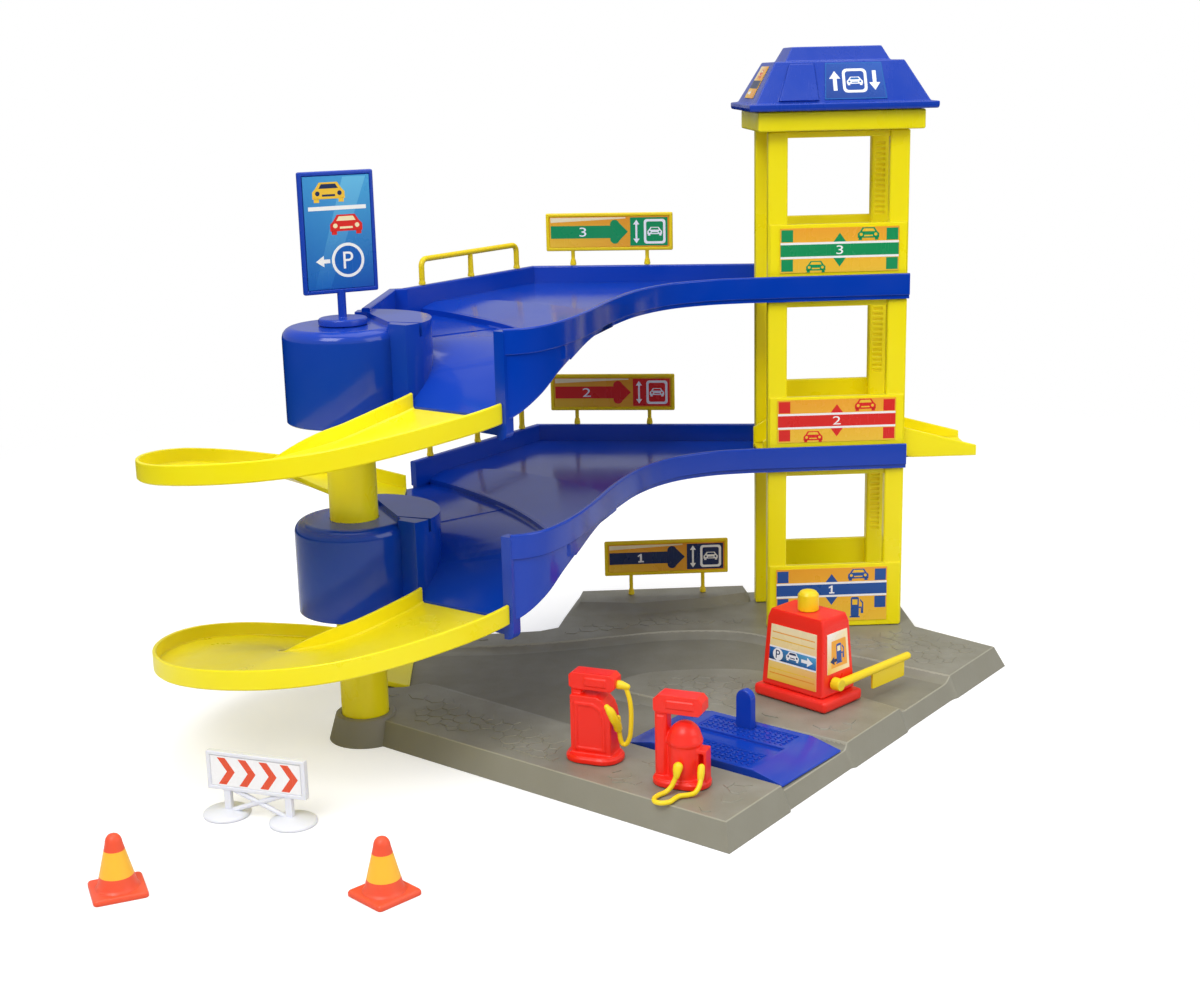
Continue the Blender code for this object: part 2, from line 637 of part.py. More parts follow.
def make_roof():
    z = COLLAR_TOP + GAP
    roof = loft("roof", [
        ring_at(-10.5, 83.0, -8.5, 67.5, z), ring_at(-11.0, 83.5, -9.0, 68.0, z + 1.2),
        ring_at(-11.0, 83.5, -9.0, 68.0, z + 3.4), ring_at(-7.5, 79.8, -5.6, 64.6, z + 3.8),
        ring_at(3.6, 68.6, 5.6, 53.4, z + 23.6), ring_at(9.6, 62.6, 11.0, 48.0, z + 23.8),
        ring_at(13.4, 58.8, 15.0, 44.0, z + 30.8)])
    rim = loft("roof rim", [ring_at(-4.6, 76.8, -2.6, 61.6, z - 1.0), ring_at(-4.6, 76.8, -2.6, 61.6, z + 3.8),
                            ring_at(6.0, 66.0, 8.2, 50.8, z + 21.2)])
    raised = loft("roof panel", [
        [(4.0, -5.0, z + 4.8), (24.0, -5.0, z + 4.8), (23.0, 5.0, z + 22.6), (10.5, 5.0, z + 22.6)],
        [(4.0, -6.3, z + 4.8), (24.0, -6.3, z + 4.8), (23.0, 4.2, z + 22.6), (10.5, 4.2, z + 22.6)]])
    combine(roof, [rim], "DIFFERENCE")
    combine(roof, [raised], "UNION")
    return finish(roof, "roof", "roof_blue")


# Lift platform
def make_lift():
    floor = LIFT_FLOOR
    bottom = floor - LIFT_T
    y0 = TOWER_FRONT + FRONT_POST_D + LIFT_PLAY
    y1 = TOWER_BACK - BACK_POST_D - LIFT_PLAY
    top = floor + LIFT_WALL
    x0 = LIFT_LEFT
    lift = box("lift floor", x0 + 0.3, LIFT_END - 0.3, y0 + 0.4, y1 - 0.4, bottom + 0.2, floor)
    sides = []
    for k, (a, b) in enumerate(((y0, y0 + 1.8), (y1 - 1.8, y1))):
        profile = [(x0, bottom), (LIFT_END, bottom), (LIFT_END, floor + LIFT_LIP), (TOWER_W, top), (x0 + 9.0, top),
                   (x0, floor + 9.0)]
        sides.append(loft(f"lift side {k}", [[(x, y, z) for x, z in profile] for y in (a, b)]))
    chamfer = loft("lift chamfer", [[(TOWER_W - 30.0, y, bottom - 1.0), (TOWER_W + 5.0, y, bottom - 1.0),
                                     (TOWER_W + 5.0, y, bottom), (TOWER_W + 3.0, y, bottom + 0.8),
                                     (TOWER_W - 30.0, y, bottom + 0.8)] for y in (y0 - 1.0, y1 + 1.0)])
    ribs = [box(f"lift rib {i}", 4.0 + 16.0 * i, 5.2 + 16.0 * i, y0 + 1.0, y1 - 1.0, floor - 0.5, floor + 0.5)
            for i in range(4)]
    combine(lift, sides + ribs, "UNION")
    combine(lift, [chamfer], "DIFFERENCE")
    return finish(lift, "lift_platform", "tower_yellow")


# Signs and railings
def make_foot(name, x, y, z):
    return revolve(name, [(0.0, z + 3.2), (1.3, z + 3.2), (1.7, z + 0.9), (1.7, z), (0.0, z)], x, y, 12)


def make_level_sign(number, x, y, z, width, height, turn, foot_z, posts):
    t = 2.2
    sign = box(f"sign {number}", -width / 2, width / 2, -t / 2, t / 2, z, z + height, at=(x, y), turn=turn,
               round_edge=0.7)
    pocket = box(f"sign pocket {number}", -width / 2 + 1.8, width / 2 - 1.8, -t / 2 - 1.0, -t / 2 + 0.6,
                 z + 1.8, z + height - 1.8, at=(x, y), turn=turn)
    legs = []
    for i, px in enumerate(posts):
        lx, ly = turned(px, 0.0, turn, x, y)
        legs.append(cylinder(f"sign leg {number}.{i}", 1.05, foot_z + 2.0, z + 1.0, lx, ly, 12))
        legs.append(make_foot(f"sign foot {number}.{i}", lx, ly, foot_z))
    combine(sign, [pocket], "DIFFERENCE")
    combine(sign, legs, "UNION")
    finish(sign, f"sign_level_{number}", "sign_yellow")
    inner = 2.1
    depth = -t / 2 + 0.6
    corners = [(*turned(sx, depth, turn, x, y), sz) for sx, sz in (
        (-width / 2 + inner, z + inner), (width / 2 - inner, z + inner),
        (width / 2 - inner, z + height - inner), (-width / 2 + inner, z + height - inner))]
    finish(sheet(f"sign label {number}", corners), f"sign_label_{number}", "printed_label")
    return sign


def make_railing(number, top):
    feet = [(-178.8, 9.0), (-154.8, 40.6), (-130.8, 72.3)]
    inward = offset(BACK, BACK_WALL / 2)
    (ax, ay), (bx, by) = inward[-1], inward[-2]
    places = []
    for fx, fy in feet:
        length = math.hypot(bx - ax, by - ay)
        ux, uy = (bx - ax) / length, (by - ay) / length
        along = (fx - ax) * ux + (fy - ay) * uy
        places.append((ax + ux * along, ay + uy * along))
    z = top + GAP
    peak = top + 13.0
    first, middle, last = places
    ux, uy = (last[0] - first[0]), (last[1] - first[1])
    length = math.hypot(ux, uy)
    ux, uy = ux / length, uy / length
    line = [(first[0], first[1], z + 1.0), (first[0], first[1], peak - 3.5)]
    for a in (25, 50, 75):
        s = 3.5 * (1 - math.cos(math.radians(a)))
        h = 3.5 * math.sin(math.radians(a))
        line.append((first[0] + ux * s, first[1] + uy * s, peak - 3.5 + h))
    line.append((first[0] + ux * 3.5, first[1] + uy * 3.5, peak))
    tail = [(last[0] - ux * 3.5, last[1] - uy * 3.5, peak)]
    for a in (75, 50, 25):
        s = 3.5 * (1 - math.cos(math.radians(a)))
        h = 3.5 * math.sin(math.radians(a))
        tail.append((last[0] - ux * s, last[1] - uy * s, peak - 3.5 + h))
    tail += [(last[0], last[1], peak - 3.5), (last[0], last[1], z + 1.0)]
    rail = tube(f"rail {number}", line + tail, 1.45)
    extra = [cylinder(f"rail post {number}", 1.3, z + 1.0, peak - 0.4, middle[0], middle[1], 12)]
    for i, (fx, fy) in enumerate(places):
        extra.append(make_foot(f"rail foot {number}.{i}", fx, fy, z))
    combine(rail, extra, "UNION")
    return finish(rail, f"railing_{number}", "sign_yellow")


def make_parking_sign():
    z = DECK_3 - HUB_DROP + GAP
    turn = math.radians(26.0)
    foot = revolve("parking sign foot", [(0.0, z + 3.0), (10.4, z + 3.0), (11.0, z + 2.2), (11.0, z), (2.5, z),
                                         (2.5, z - 4.0), (0.0, z - 4.0)], AXIS_X, AXIS_Y, 36)
    stem = cylinder("parking sign stem", 1.9, z + 1.0, z + 16.0, AXIS_X, AXIS_Y, 16)
    board = box("parking sign board", -17.5, 17.5, -1.3, 1.3, z + 14.0, z + 67.5, at=(AXIS_X, AXIS_Y), turn=turn,
                round_edge=0.8)
    pocket = box("parking sign pocket", -15.7, 15.7, -2.3, -0.7, z + 15.8, z + 65.7, at=(AXIS_X, AXIS_Y), turn=turn)
    combine(foot, [stem, board], "UNION")
    combine(foot, [pocket], "DIFFERENCE")
    finish(foot, "parking_sign", "sign_blue")
    corners = [(*turned(sx, -0.7, turn, AXIS_X, AXIS_Y), z + sz) for sx, sz in (
        (-15.4, 16.1), (15.4, 16.1), (15.4, 65.4), (-15.4, 65.4))]
    finish(sheet("parking label", corners), "parking_label", "printed_label")


# Booth and barrier
def booth_corner(sx, sy, z):
    """A point of the booth's tapered body; sx and sy run from -1 to 1."""
    share = (z - BASE_TOP - BOOTH_PLINTH[2]) / (BOOTH_TOP - BASE_TOP - BOOTH_PLINTH[2])
    half_x = (BOOTH_FOOT[0] + (BOOTH_HEAD[0] - BOOTH_FOOT[0]) * share) / 2
    half_y = (BOOTH_FOOT[1] + (BOOTH_HEAD[1] - BOOTH_FOOT[1]) * share) / 2
    return (*turned(sx * half_x, sy * half_y, BOOTH_TURN, BOOTH_X, BOOTH_Y), z)


def make_booth():
    at = (BOOTH_X, BOOTH_Y)
    length, depth, height = BOOTH_PLINTH
    z0 = BASE_TOP + GAP
    plinth = box("booth plinth", -length / 2, length / 2, -depth / 2, depth / 2, z0, BASE_TOP + height, at=at,
                 turn=BOOTH_TURN, round_edge=1.6)
    finish(plinth, "booth_plinth", "booth_red")
    foot = BASE_TOP + height + GAP
    rings = []
    for z in (foot, BOOTH_TOP - 4.0, BOOTH_TOP):
        inset = 1.0 if z < BOOTH_TOP else 0.93
        rings.append([booth_corner(sx * inset, sy * inset, z) for sx, sy in ((-1, -1), (1, -1), (1, 1), (-1, 1))])
    body = loft("booth body", rings)
    bevel(body, 1.0)
    inner = box("booth hollow", -13.0, 13.0, -7.0, 7.0, foot - 1.0, BOOTH_TOP - 6.0, at=at, turn=BOOTH_TURN)
    px, py = barrier_pivot()
    ux, uy = math.cos(BOOTH_TURN), math.sin(BOOTH_TURN)
    hole = tube("barrier hole", [(px - ux * 8.0, py - uy * 8.0, BARRIER_Z), (px + ux * 3.0, py + uy * 3.0, BARRIER_Z)],
                BARRIER_STUB_R + FIT, 3)
    combine(body, [inner, hole], "DIFFERENCE")
    finish(body, "booth_body", "booth_red")
    lamp = revolve("lamp", [(0.0, BOOTH_TOP + 10.0), (LAMP_R - 1.4, BOOTH_TOP + 10.0),
                            (LAMP_R - 0.4, BOOTH_TOP + 9.5), (LAMP_R, BOOTH_TOP + 8.4),
                            (LAMP_R, BOOTH_TOP + GAP), (0.0, BOOTH_TOP + GAP)], BOOTH_X, BOOTH_Y, 28)
    finish(lamp, "booth_lamp", "sign_yellow", smooth=False)
    low, high = foot + 3.0, BOOTH_TOP - 7.0
    finish(sheet("booth front label", [booth_corner(-0.8, -1, low), booth_corner(0.8, -1, low),
                                       booth_corner(0.8, -1, high), booth_corner(-0.8, -1, high)]),
           "booth_label_front", "printed_label")
    finish(sheet("booth side label", [booth_corner(1, -0.72, low + 8.0), booth_corner(1, 0.72, low + 8.0),
                                      booth_corner(1, 0.72, high), booth_corner(1, -0.72, high)]),
           "booth_label_side", "printed_label")


def barrier_pivot():
    """The point of the booth's side where the barrier arm turns."""
    x, y, _ = booth_corner(1, -0.35, BARRIER_Z)
    return x, y


def make_barrier():
    cx, cy = barrier_pivot()
    across = BOOTH_TURN
    along = BOOTH_TURN + math.pi / 2
    out = 0.9

    def spot(a, o, z):
        return (cx + a * math.cos(along) + o * math.cos(across), cy + a * math.sin(along) + o * math.sin(across), z)

    arm = tube("barrier arm", [spot(-2.0, out + 2.2, BARRIER_Z), spot(56.0, out + 2.2, BARRIER_Z)], 2.1, 3)
    hub_points = [spot(0.0, out - 0.4, BARRIER_Z), spot(0.0, out + 4.6, BARRIER_Z)]
    hub = tube("barrier hub", hub_points, 3.0, 4)
    flag = loft("barrier flag", [
        [spot(26.0, o, BARRIER_Z + 0.2), spot(52.0, o, BARRIER_Z + 0.2), spot(52.0, o, BARRIER_Z - 9.6),
         spot(26.0, o, BARRIER_Z - 9.6)] for o in (out + 1.5, out + 2.9)])
    stub = tube("barrier stub", [spot(0.0, -BARRIER_STUB, BARRIER_Z), spot(0.0, out + 1.0, BARRIER_Z)],
                BARRIER_STUB_R, 3)
    combine(arm, [hub, stub, flag], "UNION")
    return finish(arm, "barrier_arm", "sign_yellow")


# Service platform and its handle
def make_platform():
    at = (PLATFORM_X, PLATFORM_Y)
    turn = CHANNEL_TURN
    z0 = ROAD_TOP + GAP
    z1 = z0 + PLATFORM_T
    half = PLATFORM_L / 2
    profile = [(-half, z0), (half, z0), (half, z0 + 0.9), (half - 15.0, z1), (-half + 15.0, z1), (-half, z0 + 0.9)]
    body = loft("platform", [[(*turned(x, y, turn, *at), z) for x, z in profile]
                             for y in (-PLATFORM_W / 2, PLATFORM_W / 2)])
    middle = box("platform groove", -half + 17.0, half - 17.0, -4.0, 4.0, z1 - 1.2, z1 + 1.0, at=at, turn=turn)
    treads = [box(f"platform tread {k}", -half + 19.0, half - 19.0, y - 7.0, y + 7.0, z1 - 0.5, z1 + 1.0, at=at,
                  turn=turn) for k, y in enumerate((-14.0, 13.0))]
    slot = box("handle slot", HANDLE_X - HANDLE_W / 2 - FIT, HANDLE_X + HANDLE_W / 2 + FIT,
               HANDLE_Y - HANDLE_T / 2 - FIT, HANDLE_Y + HANDLE_T / 2 + FIT, HANDLE_SEAT, z1 + 2.0, at=at, turn=turn)
    combine(body, [middle, *treads, slot], "DIFFERENCE")
    return finish(body, "service_platform", "deck_blue")


HANDLE_SEAT = ROAD_TOP + GAP + 0.8


def make_handle():
    at = (PLATFORM_X, PLATFORM_Y)
    turn = CHANNEL_TURN
    x0 = HANDLE_X
    z0 = HANDLE_SEAT + GAP
    half = HANDLE_W / 2
    outline = [(x0 + half * math.cos(math.radians(a)), HANDLE_TOP - half + half * math.sin(math.radians(a)))
               for a in range(0, 181, 20)]
    outline += [(x0 - half, z0), (x0 + half, z0)]
    handle = loft("handle", [[(*turned(x, y, turn, *at), z) for x, z in outline]
                             for y in (HANDLE_Y - HANDLE_T / 2, HANDLE_Y + HANDLE_T / 2)])
    bevel(handle, 0.5, 1)
    return finish(handle, "service_handle", "deck_blue")


# Pumps
def make_pump_1():
    cx, cy = PUMP_1
    z = BASE_TOP + GAP
    turn = PUMP_TURN
    base = box("pump 1 base", -13.0, 13.0, -9.5, 9.5, z, z + 3.2, at=(cx, cy), turn=turn, round_edge=1.4)
    body_outline = [(-9.5, z + 2.0), (9.5, z + 2.0), (9.5, z + 20.0), (8.6, z + 25.0), (6.0, z + 28.5),
                    (2.0, z + 30.0), (-9.5, z + 30.0)]
    body = loft("pump 1 body", [[(*turned(x, y, turn, cx, cy), h) for x, h in body_outline] for y in (-5.5, 5.5)])
    bevel(body, 0.8, 1)
    panel = box("pump 1 panel", -6.5, 6.0, -6.0, -5.0, z + 6.0, z + 26.0, at=(cx, cy), turn=turn, round_edge=0.3)
    neck = box("pump 1 neck", -9.3, -4.6, -3.2, 3.2, z + 28.0, z + 34.0, at=(cx, cy), turn=turn)
    arm = box("pump 1 arm", -10.5, 11.5, -4.4, 4.4, z + 32.0, z + 40.2, at=(cx, cy), turn=turn, round_edge=2.2)
    combine(base, [body, panel, neck, arm], "UNION")
    finish(base, "pump_1", "booth_red")
    hose = []
    ex, ez = 12.2, z + 34.6
    for px, py, pz in ((ex + 2.6, 0.0, ez - 0.3), (ex + 3.6, 0.0, ez - 3.0), (ex + 4.6, 0.0, ez - 7.0),
                       (ex + 5.0, 0.0, ez - 12.0), (ex + 4.8, 0.0, ez - 18.0), (ex + 4.2, 0.0, ez - 23.0),
                       (ex + 2.6, -0.4, ez - 26.4), (ex + 0.8, -0.8, ez - 26.0), (ex + 0.0, -1.2, ez - 22.5),
                       (ex - 0.2, -1.5, ez - 18.0), (ex - 0.4, -1.6, ez - 14.0)):
        hose.append((*turned(px, py, turn, cx, cy), pz))
    line = tube("pump 1 hose", hose, HOSE_R, 2)
    plug = tube("pump 1 plug", [(*turned(11.5 + GAP, 0.0, turn, cx, cy), ez + 0.4),
                                (*turned(17.0, 0.0, turn, cx, cy), ez - 0.2)], 1.9, 3)
    grip = [(8.8, -6.6, z + 27.0), (10.6, -6.4, z + 24.6), (11.6, -5.2, z + 21.0), (12.0, -3.0, z + 18.0),
            (11.8, -1.6, z + 15.8)]
    nozzle = tube("pump 1 nozzle", [(*turned(px, py - 0.6, turn, cx, cy), pz) for px, py, pz in grip], 1.9, 3)
    combine(line, [plug, nozzle], "UNION")
    finish(line, "pump_1_hose", "sign_yellow")


def make_pump_2():
    cx, cy = PUMP_2
    z = BASE_TOP + GAP
    turn = PUMP_TURN
    base = box("pump 2 base", -13.0, 12.5, -8.5, 8.5, z, z + 3.4, at=(cx, cy), turn=turn, round_edge=1.5)
    post = box("pump 2 post", -11.5, -5.8, -3.4, 3.4, z + 2.0, z + 33.0, at=(cx, cy), turn=turn, round_edge=0.5)
    arm = box("pump 2 arm", -11.8, 10.5, -4.4, 4.4, z + 31.5, z + 40.0, at=(cx, cy), turn=turn, round_edge=2.2)
    bx, by = turned(1.2, 0.0, turn, cx, cy)
    dome = [(0.0, z + 28.0)]
    dome += [(7.0 * math.sin(math.radians(a)), z + 21.0 + 7.0 * math.cos(math.radians(a))) for a in (20, 40, 60, 80)]
    dome += [(7.6, z + 20.0), (7.6, z + 18.4), (7.1, z + 17.6), (7.1, z + 2.0), (0.0, z + 2.0)]
    body = revolve("pump 2 body", dome, bx, by, 28)
    holder = box("pump 2 holder", 6.8, 11.6, -3.6, 3.6, z + 2.0, z + 17.0, at=(cx, cy), turn=turn, round_edge=1.0)
    slot = box("pump 2 slot", 8.4, 10.4, -6.0, -2.0, z + 6.0, z + 15.0, at=(cx, cy), turn=turn)
    link = box("pump 2 link", -7.5, 2.0, -2.6, 2.6, z + 6.0, z + 20.0, at=(cx, cy), turn=turn)
    combine(base, [post, arm, body, holder, link], "UNION")
    combine(base, [slot], "DIFFERENCE")
    finish(base, "pump_2", "booth_red")
    ground = BASE_TOP + GAP + HOSE_R
    hose = []
    for px, py, pz in ((1.0, -10.6, z + 8.0), (0.2, -11.2, z + 5.2), (-1.0, -12.4, z + 2.6),
                       (-2.6, -14.6, ground), (-4.2, -18.0, ground), (-4.8, -21.6, ground),
                       (-3.4, -24.6, ground), (-0.4, -25.2, ground), (2.4, -22.8, ground), (3.2, -19.4, ground),
                       (4.2, -16.2, ground), (7.0, -14.0, ground), (9.6, -12.2, ground + 0.6),
                       (10.8, -9.8, ground + 3.0), (10.6, -7.2, ground + 6.0)):
        hose.append((*turned(px, py, turn, cx, cy), pz))
    line = tube("pump 2 hose", hose, HOSE_R, 2)
    funnel = tube("pump 2 funnel", [(*turned(1.2, -7.1 - 1.4 - GAP - 0.3, turn, cx, cy), z + 10.8),
                                    (*turned(1.0, -10.8, turn, cx, cy), z + 7.4)], 1.9, 3)
    grip = tube("pump 2 grip", [(*turned(10.6, -7.8, turn, cx, cy), ground + 5.0),
                                (*turned(10.2, -5.4, turn, cx, cy), z + 10.6)], 1.5, 3)
    combine(line, [funnel, grip], "UNION")
    finish(line, "pump_2_hose", "sign_yellow")


# Loose barricade and cones
def make_barricade():
    at = BARRICADE
    turn = BARRICADE_TURN
    board = box("barricade board", -23.5, 23.5, -1.6, 1.6, 11.6, 29.0, at=at, turn=turn, round_edge=1.0)
    pocket = box("barricade pocket", -21.6, 21.6, -2.6, -0.9, 13.4, 27.2, at=at, turn=turn)
    pieces = []
    feet = []
    for k, side in enumerate((-1, 1)):
        fx, fy = turned(side * 15.9, 0.0, turn, *at)
        feet.append(revolve(f"barricade foot {k}", [(0.0, 3.0), (3.6, 3.0), (9.4, 1.9), (10.2, 1.2), (10.2, 0.0),
                                                    (0.0, 0.0)], fx, fy, 28))
        pieces.append(box(f"barricade post {k}", side * 14.6 - 1.6, side * 14.6 + 1.6, -1.3, 1.3, 1.0, 13.0, at=at,
                          turn=turn))
    for k, side in enumerate((-1, 1)):
        ends = ((-13.5 * side, 12.6), (13.5 * side, 2.2))
        pieces.append(tube(f"barricade brace {k}",
                           [(*turned(x, 0.0, turn, *at), z) for x, z in ends], 1.15, 2))
    combine(board, [pocket], "DIFFERENCE")
    combine(board, feet + pieces, "UNION")
    finish(board, "barricade", "barricade_white")
    corners = [(*turned(x, -0.9, turn, *at), z) for x, z in (
        (-21.3, 13.7), (21.3, 13.7), (21.3, 26.9), (-21.3, 26.9))]
    finish(sheet("barricade label", corners), "barricade_label", "printed_label")


def make_cone(name, at, turn):
    half = CONE_BASE / 2
    base = box(f"{name} base", -half, half, -half, half, 0.0, 2.4, at=at, turn=turn, round_edge=0.9)
    body = revolve(f"{name} body", [(0.0, CONE_H), (1.7, CONE_H - 0.3), (2.8, CONE_H - 1.6), (3.4, CONE_H - 4.0),
                                    (7.6, 3.6), (8.8, 2.0), (0.0, 2.0)], *at, 28)
    combine(base, [body], "UNION")
    return finish(base, name, "cone_orange")


# Printed labels of the tower
def make_tower_labels():
    face = TOWER_FRONT - PANEL_PROUD
    for number, z0, z1, x0, x1 in ((1, 14.5, 44.0, 4.5, 64.0), (2, DECK_2 + 2.0, DECK_2 + 24.5, 5.0, 67.0),
                                   (3, DECK_3 + 1.4, DECK_3 + 24.0, 6.0, 67.0)):
        corners = [(x0, face, z0), (x1, face, z0), (x1, face, z1), (x0, face, z1)]
        finish(sheet(f"panel label {number}", corners), f"panel_label_{number}", "printed_label")
    z = COLLAR_TOP + GAP
    slope = (5.6 + 5.6) / 19.8

    def front_face(x, h):
        return (x, -5.6 + (h - 3.8) * slope, z + h)

    finish(sheet("roof front label", [front_face(27.0, 5.0), front_face(58.0, 5.0), front_face(56.5, 22.5),
                                      front_face(28.5, 22.5)]), "roof_label_front", "printed_label")
    side = (3.6 + 7.5) / 19.8

    def left_face(y, h):
        return (-7.5 + (h - 3.8) * side, y, z + h)

    finish(sheet("roof side label", [left_face(44.0, 6.0), left_face(15.0, 6.0), left_face(17.0, 21.5),
                                     left_face(42.0, 21.5)]), "roof_label_side", "printed_label")


def main():
    global PARTS, CUTTERS
    for ob in list(bpy.data.objects):
        bpy.data.objects.remove(ob, do_unlink=True)
    PARTS = bpy.data.collections.new("toy_parking_garage")
    CUTTERS = bpy.data.collections.new("cutters")
    bpy.context.scene.collection.children.link(PARTS)
    bpy.context.scene.collection.children.link(CUTTERS)
    material("base_grey", GREY, 0.5)
    material("deck_blue", BLUE, 0.2)
    material("roof_blue", BLUE, 0.3)
    material("tower_yellow", YELLOW, 0.35)
    material("sign_yellow", YELLOW, 0.4)
    material("sign_blue", BLUE, 0.3)
    material("booth_red", RED, 0.35)
    material("barricade_white", WHITE, 0.35)
    material("cone_orange", ORANGE, 0.45)
    material("printed_label", PRINT, 0.4)

    make_base()
    make_deck(2, DECK_2)
    make_deck(3, DECK_3)
    make_ramp("ramp_lower", 0.0)
    make_ramp("ramp_upper", LEVEL_STEP)
    make_column("column_lower", 3.0 + GAP, DECK_2 - HUB_BOTTOM + SOCKET_DEPTH - GAP)
    make_column("column_upper", DECK_2 - HUB_DROP - SOCKET_DEPTH + GAP, DECK_3 - HUB_BOTTOM + SOCKET_DEPTH - GAP)
    floors = ((1, BASE_TOP, DECK_2 - FLOOR_DROP - SLAB, GROUND_PANEL_TOP),
              (2, DECK_2 - FLOOR_DROP, DECK_3 - FLOOR_DROP - SLAB, DECK_2 + PANEL_RISE),
              (3, DECK_3 - FLOOR_DROP, TOWER_TOP + GAP, DECK_3 + PANEL_RISE))
    for number, low, high, panel_top in floors:
        make_tower_front(number, low + GAP, high - GAP, panel_top)
        make_tower_back(number, low + GAP, high - GAP, panel_top)
    make_collar()
    make_roof()
    make_lift()
    make_tower_labels()
    make_level_sign(1, -49.5, 58.0, 27.5, 69.5, 20.0, 0.0, 16.0 + GAP, (-20.0, 20.5))
    for number, top in ((2, DECK_2), (3, DECK_3)):
        turn = math.atan2(66.0 - 84.0, 120.0)
        x = -77.0
        y = 66.0 + (84.0 - 66.0) * 77.0 / 120.0 - BACK_WALL / 2 - 0.15
        make_level_sign(number, x, y, top + 8.0, 69.5, 20.5, turn, top + GAP, (-20.2, 20.6))
        make_railing(number, top)
    make_parking_sign()
    make_booth()
    make_barrier()
    make_platform()
    make_handle()
    make_pump_1()
    make_pump_2()
    make_barricade()
    make_cone("cone_left", CONE_LEFT, CONE_LEFT_TURN)
    make_cone("cone_right", CONE_RIGHT, CONE_RIGHT_TURN)

    CUTTERS.hide_render = True
    for ob in CUTTERS.all_objects:
        ob.hide_render = True
        ob.display_type = "WIRE"
    for ob in bpy.data.objects:
        ob.location = (SHIFT_X * MM, SHIFT_Y * MM, 0.0)


main()
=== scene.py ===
"""Toy parking garage: three levels, a lift tower, two curved ramps, a forecourt and loose road pieces."""
import json
import math
import random

import bmesh
import bpy
from mathutils import Matrix, Vector
from mathutils.geometry import delaunay_2d_cdt

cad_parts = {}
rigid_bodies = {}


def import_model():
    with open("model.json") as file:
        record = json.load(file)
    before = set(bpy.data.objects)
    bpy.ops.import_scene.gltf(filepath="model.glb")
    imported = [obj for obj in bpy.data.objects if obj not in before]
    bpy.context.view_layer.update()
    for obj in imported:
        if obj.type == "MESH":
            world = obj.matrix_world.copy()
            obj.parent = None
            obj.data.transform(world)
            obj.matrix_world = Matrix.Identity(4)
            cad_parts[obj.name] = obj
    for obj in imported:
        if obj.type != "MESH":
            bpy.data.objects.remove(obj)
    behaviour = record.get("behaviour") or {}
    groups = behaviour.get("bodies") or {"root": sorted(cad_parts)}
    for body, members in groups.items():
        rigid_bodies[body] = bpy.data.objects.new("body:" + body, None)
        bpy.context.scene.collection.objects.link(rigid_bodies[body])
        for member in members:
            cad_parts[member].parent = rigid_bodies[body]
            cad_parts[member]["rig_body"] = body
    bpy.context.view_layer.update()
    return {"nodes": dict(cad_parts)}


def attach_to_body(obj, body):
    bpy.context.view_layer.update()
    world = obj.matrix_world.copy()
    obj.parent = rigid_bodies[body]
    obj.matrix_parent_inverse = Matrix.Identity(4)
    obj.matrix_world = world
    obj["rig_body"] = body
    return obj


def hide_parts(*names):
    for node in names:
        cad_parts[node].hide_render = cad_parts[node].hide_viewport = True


bl_info = {
    "name": "Toy parking garage",
    "version": (1, 0, 0),
    "blender": (4, 5, 0),
    "location": "3D View > Sidebar > Garage",
    "description": "Builds the toy parking garage piece by piece on its frame",
    "category": "Add Mesh",
}

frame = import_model()

MM = 0.001
PARALLEL = 1e-9  # Lines whose cross product is smaller than this don't meet
SAME_SPOT = 1e-5
# Places are written in millimetres from the left front corner of the lift tower, and moved by this much
SHIFT = (92.05, 98.48)

BASE_TOP = 11.0
ROAD_TOP = 8.0
BASE_SLOPE = 5.0
BANK_TOP = 16.0
DECKS = {2: 111.0, 3: 200.0}
LEVEL_STEP = 89.0
FLOOR_DROP = 9.0
SLAB = 4.0
LANDING_DROP = 14.0
LANDING_SLAB = 3.0
APPROACH_DROP = 11.5
BAND = 11.0
WALL = 2.4
BACK_WALL = 3.6
FLANGE_DROP = 47.5
HUB_R = 27.5
HUB_DROP = 4.0
HUB_FILLET = 5.0
HUB_BOTTOM = 47.0
AXIS = (-206.0, -100.6)
COLUMN_R = 11.1
TOWER_FACE = 2.7
ROOF_FOOT = 282.3
PLATFORM = (-38.5, -154.0)
PLATFORM_TURN = math.radians(-41.0)
BOOTH = (4.5, -100.5)
BOOTH_TURN = math.radians(-48.0)
BOOTH_TOP = 54.5
PUMP_1 = (-100.0, -165.5)
PUMP_2 = (-64.5, -197.0)
PUMP_TURN = math.radians(-25.0)
BARRICADE = (-243.4, -191.4)
BARRICADE_TURN = math.radians(-22.0)
CONES = {"cone_left": ((-289.0, -254.0), math.radians(20.0)),
         "cone_right": ((-185.5, -266.5), math.radians(42.0))}

FRONT = [(72.5, 0.0), (-8.0, -1.0), (-25.0, -3.0), (-37.0, -7.0), (-48.0, -13.0), (-57.5, -21.5),
         (-65.0, -31.0), (-72.0, -42.5), (-79.0, -58.0), (-86.0, -76.0), (-93.0, -97.0), (-100.0, -116.5),
         (-106.0, -130.0), (-111.5, -140.0), (-117.0, -148.0), (-122.5, -153.0), (-128.0, -155.9),
         (-134.0, -157.0)]
BACK = [(72.5, 66.0), (0.0, 66.0), (-120.0, 84.0), (-186.0, -3.0)]
STEP = [(-177.5, 5.0), (-173.5, 0.5), (-162.0, -13.5), (-149.0, -34.0), (-136.0, -57.0), (-126.0, -81.0),
        (-119.0, -102.0), (-113.5, -121.0), (-110.0, -134.0)]
APPROACH = [(-178.0, 12.0), (-170.0, 13.0), (-156.0, 14.5), (-136.0, 7.5), (-116.5, -10.0), (-103.0, -25.0),
            (-90.0, -47.0), (-84.0, -66.0), (-84.0, -70.0)]
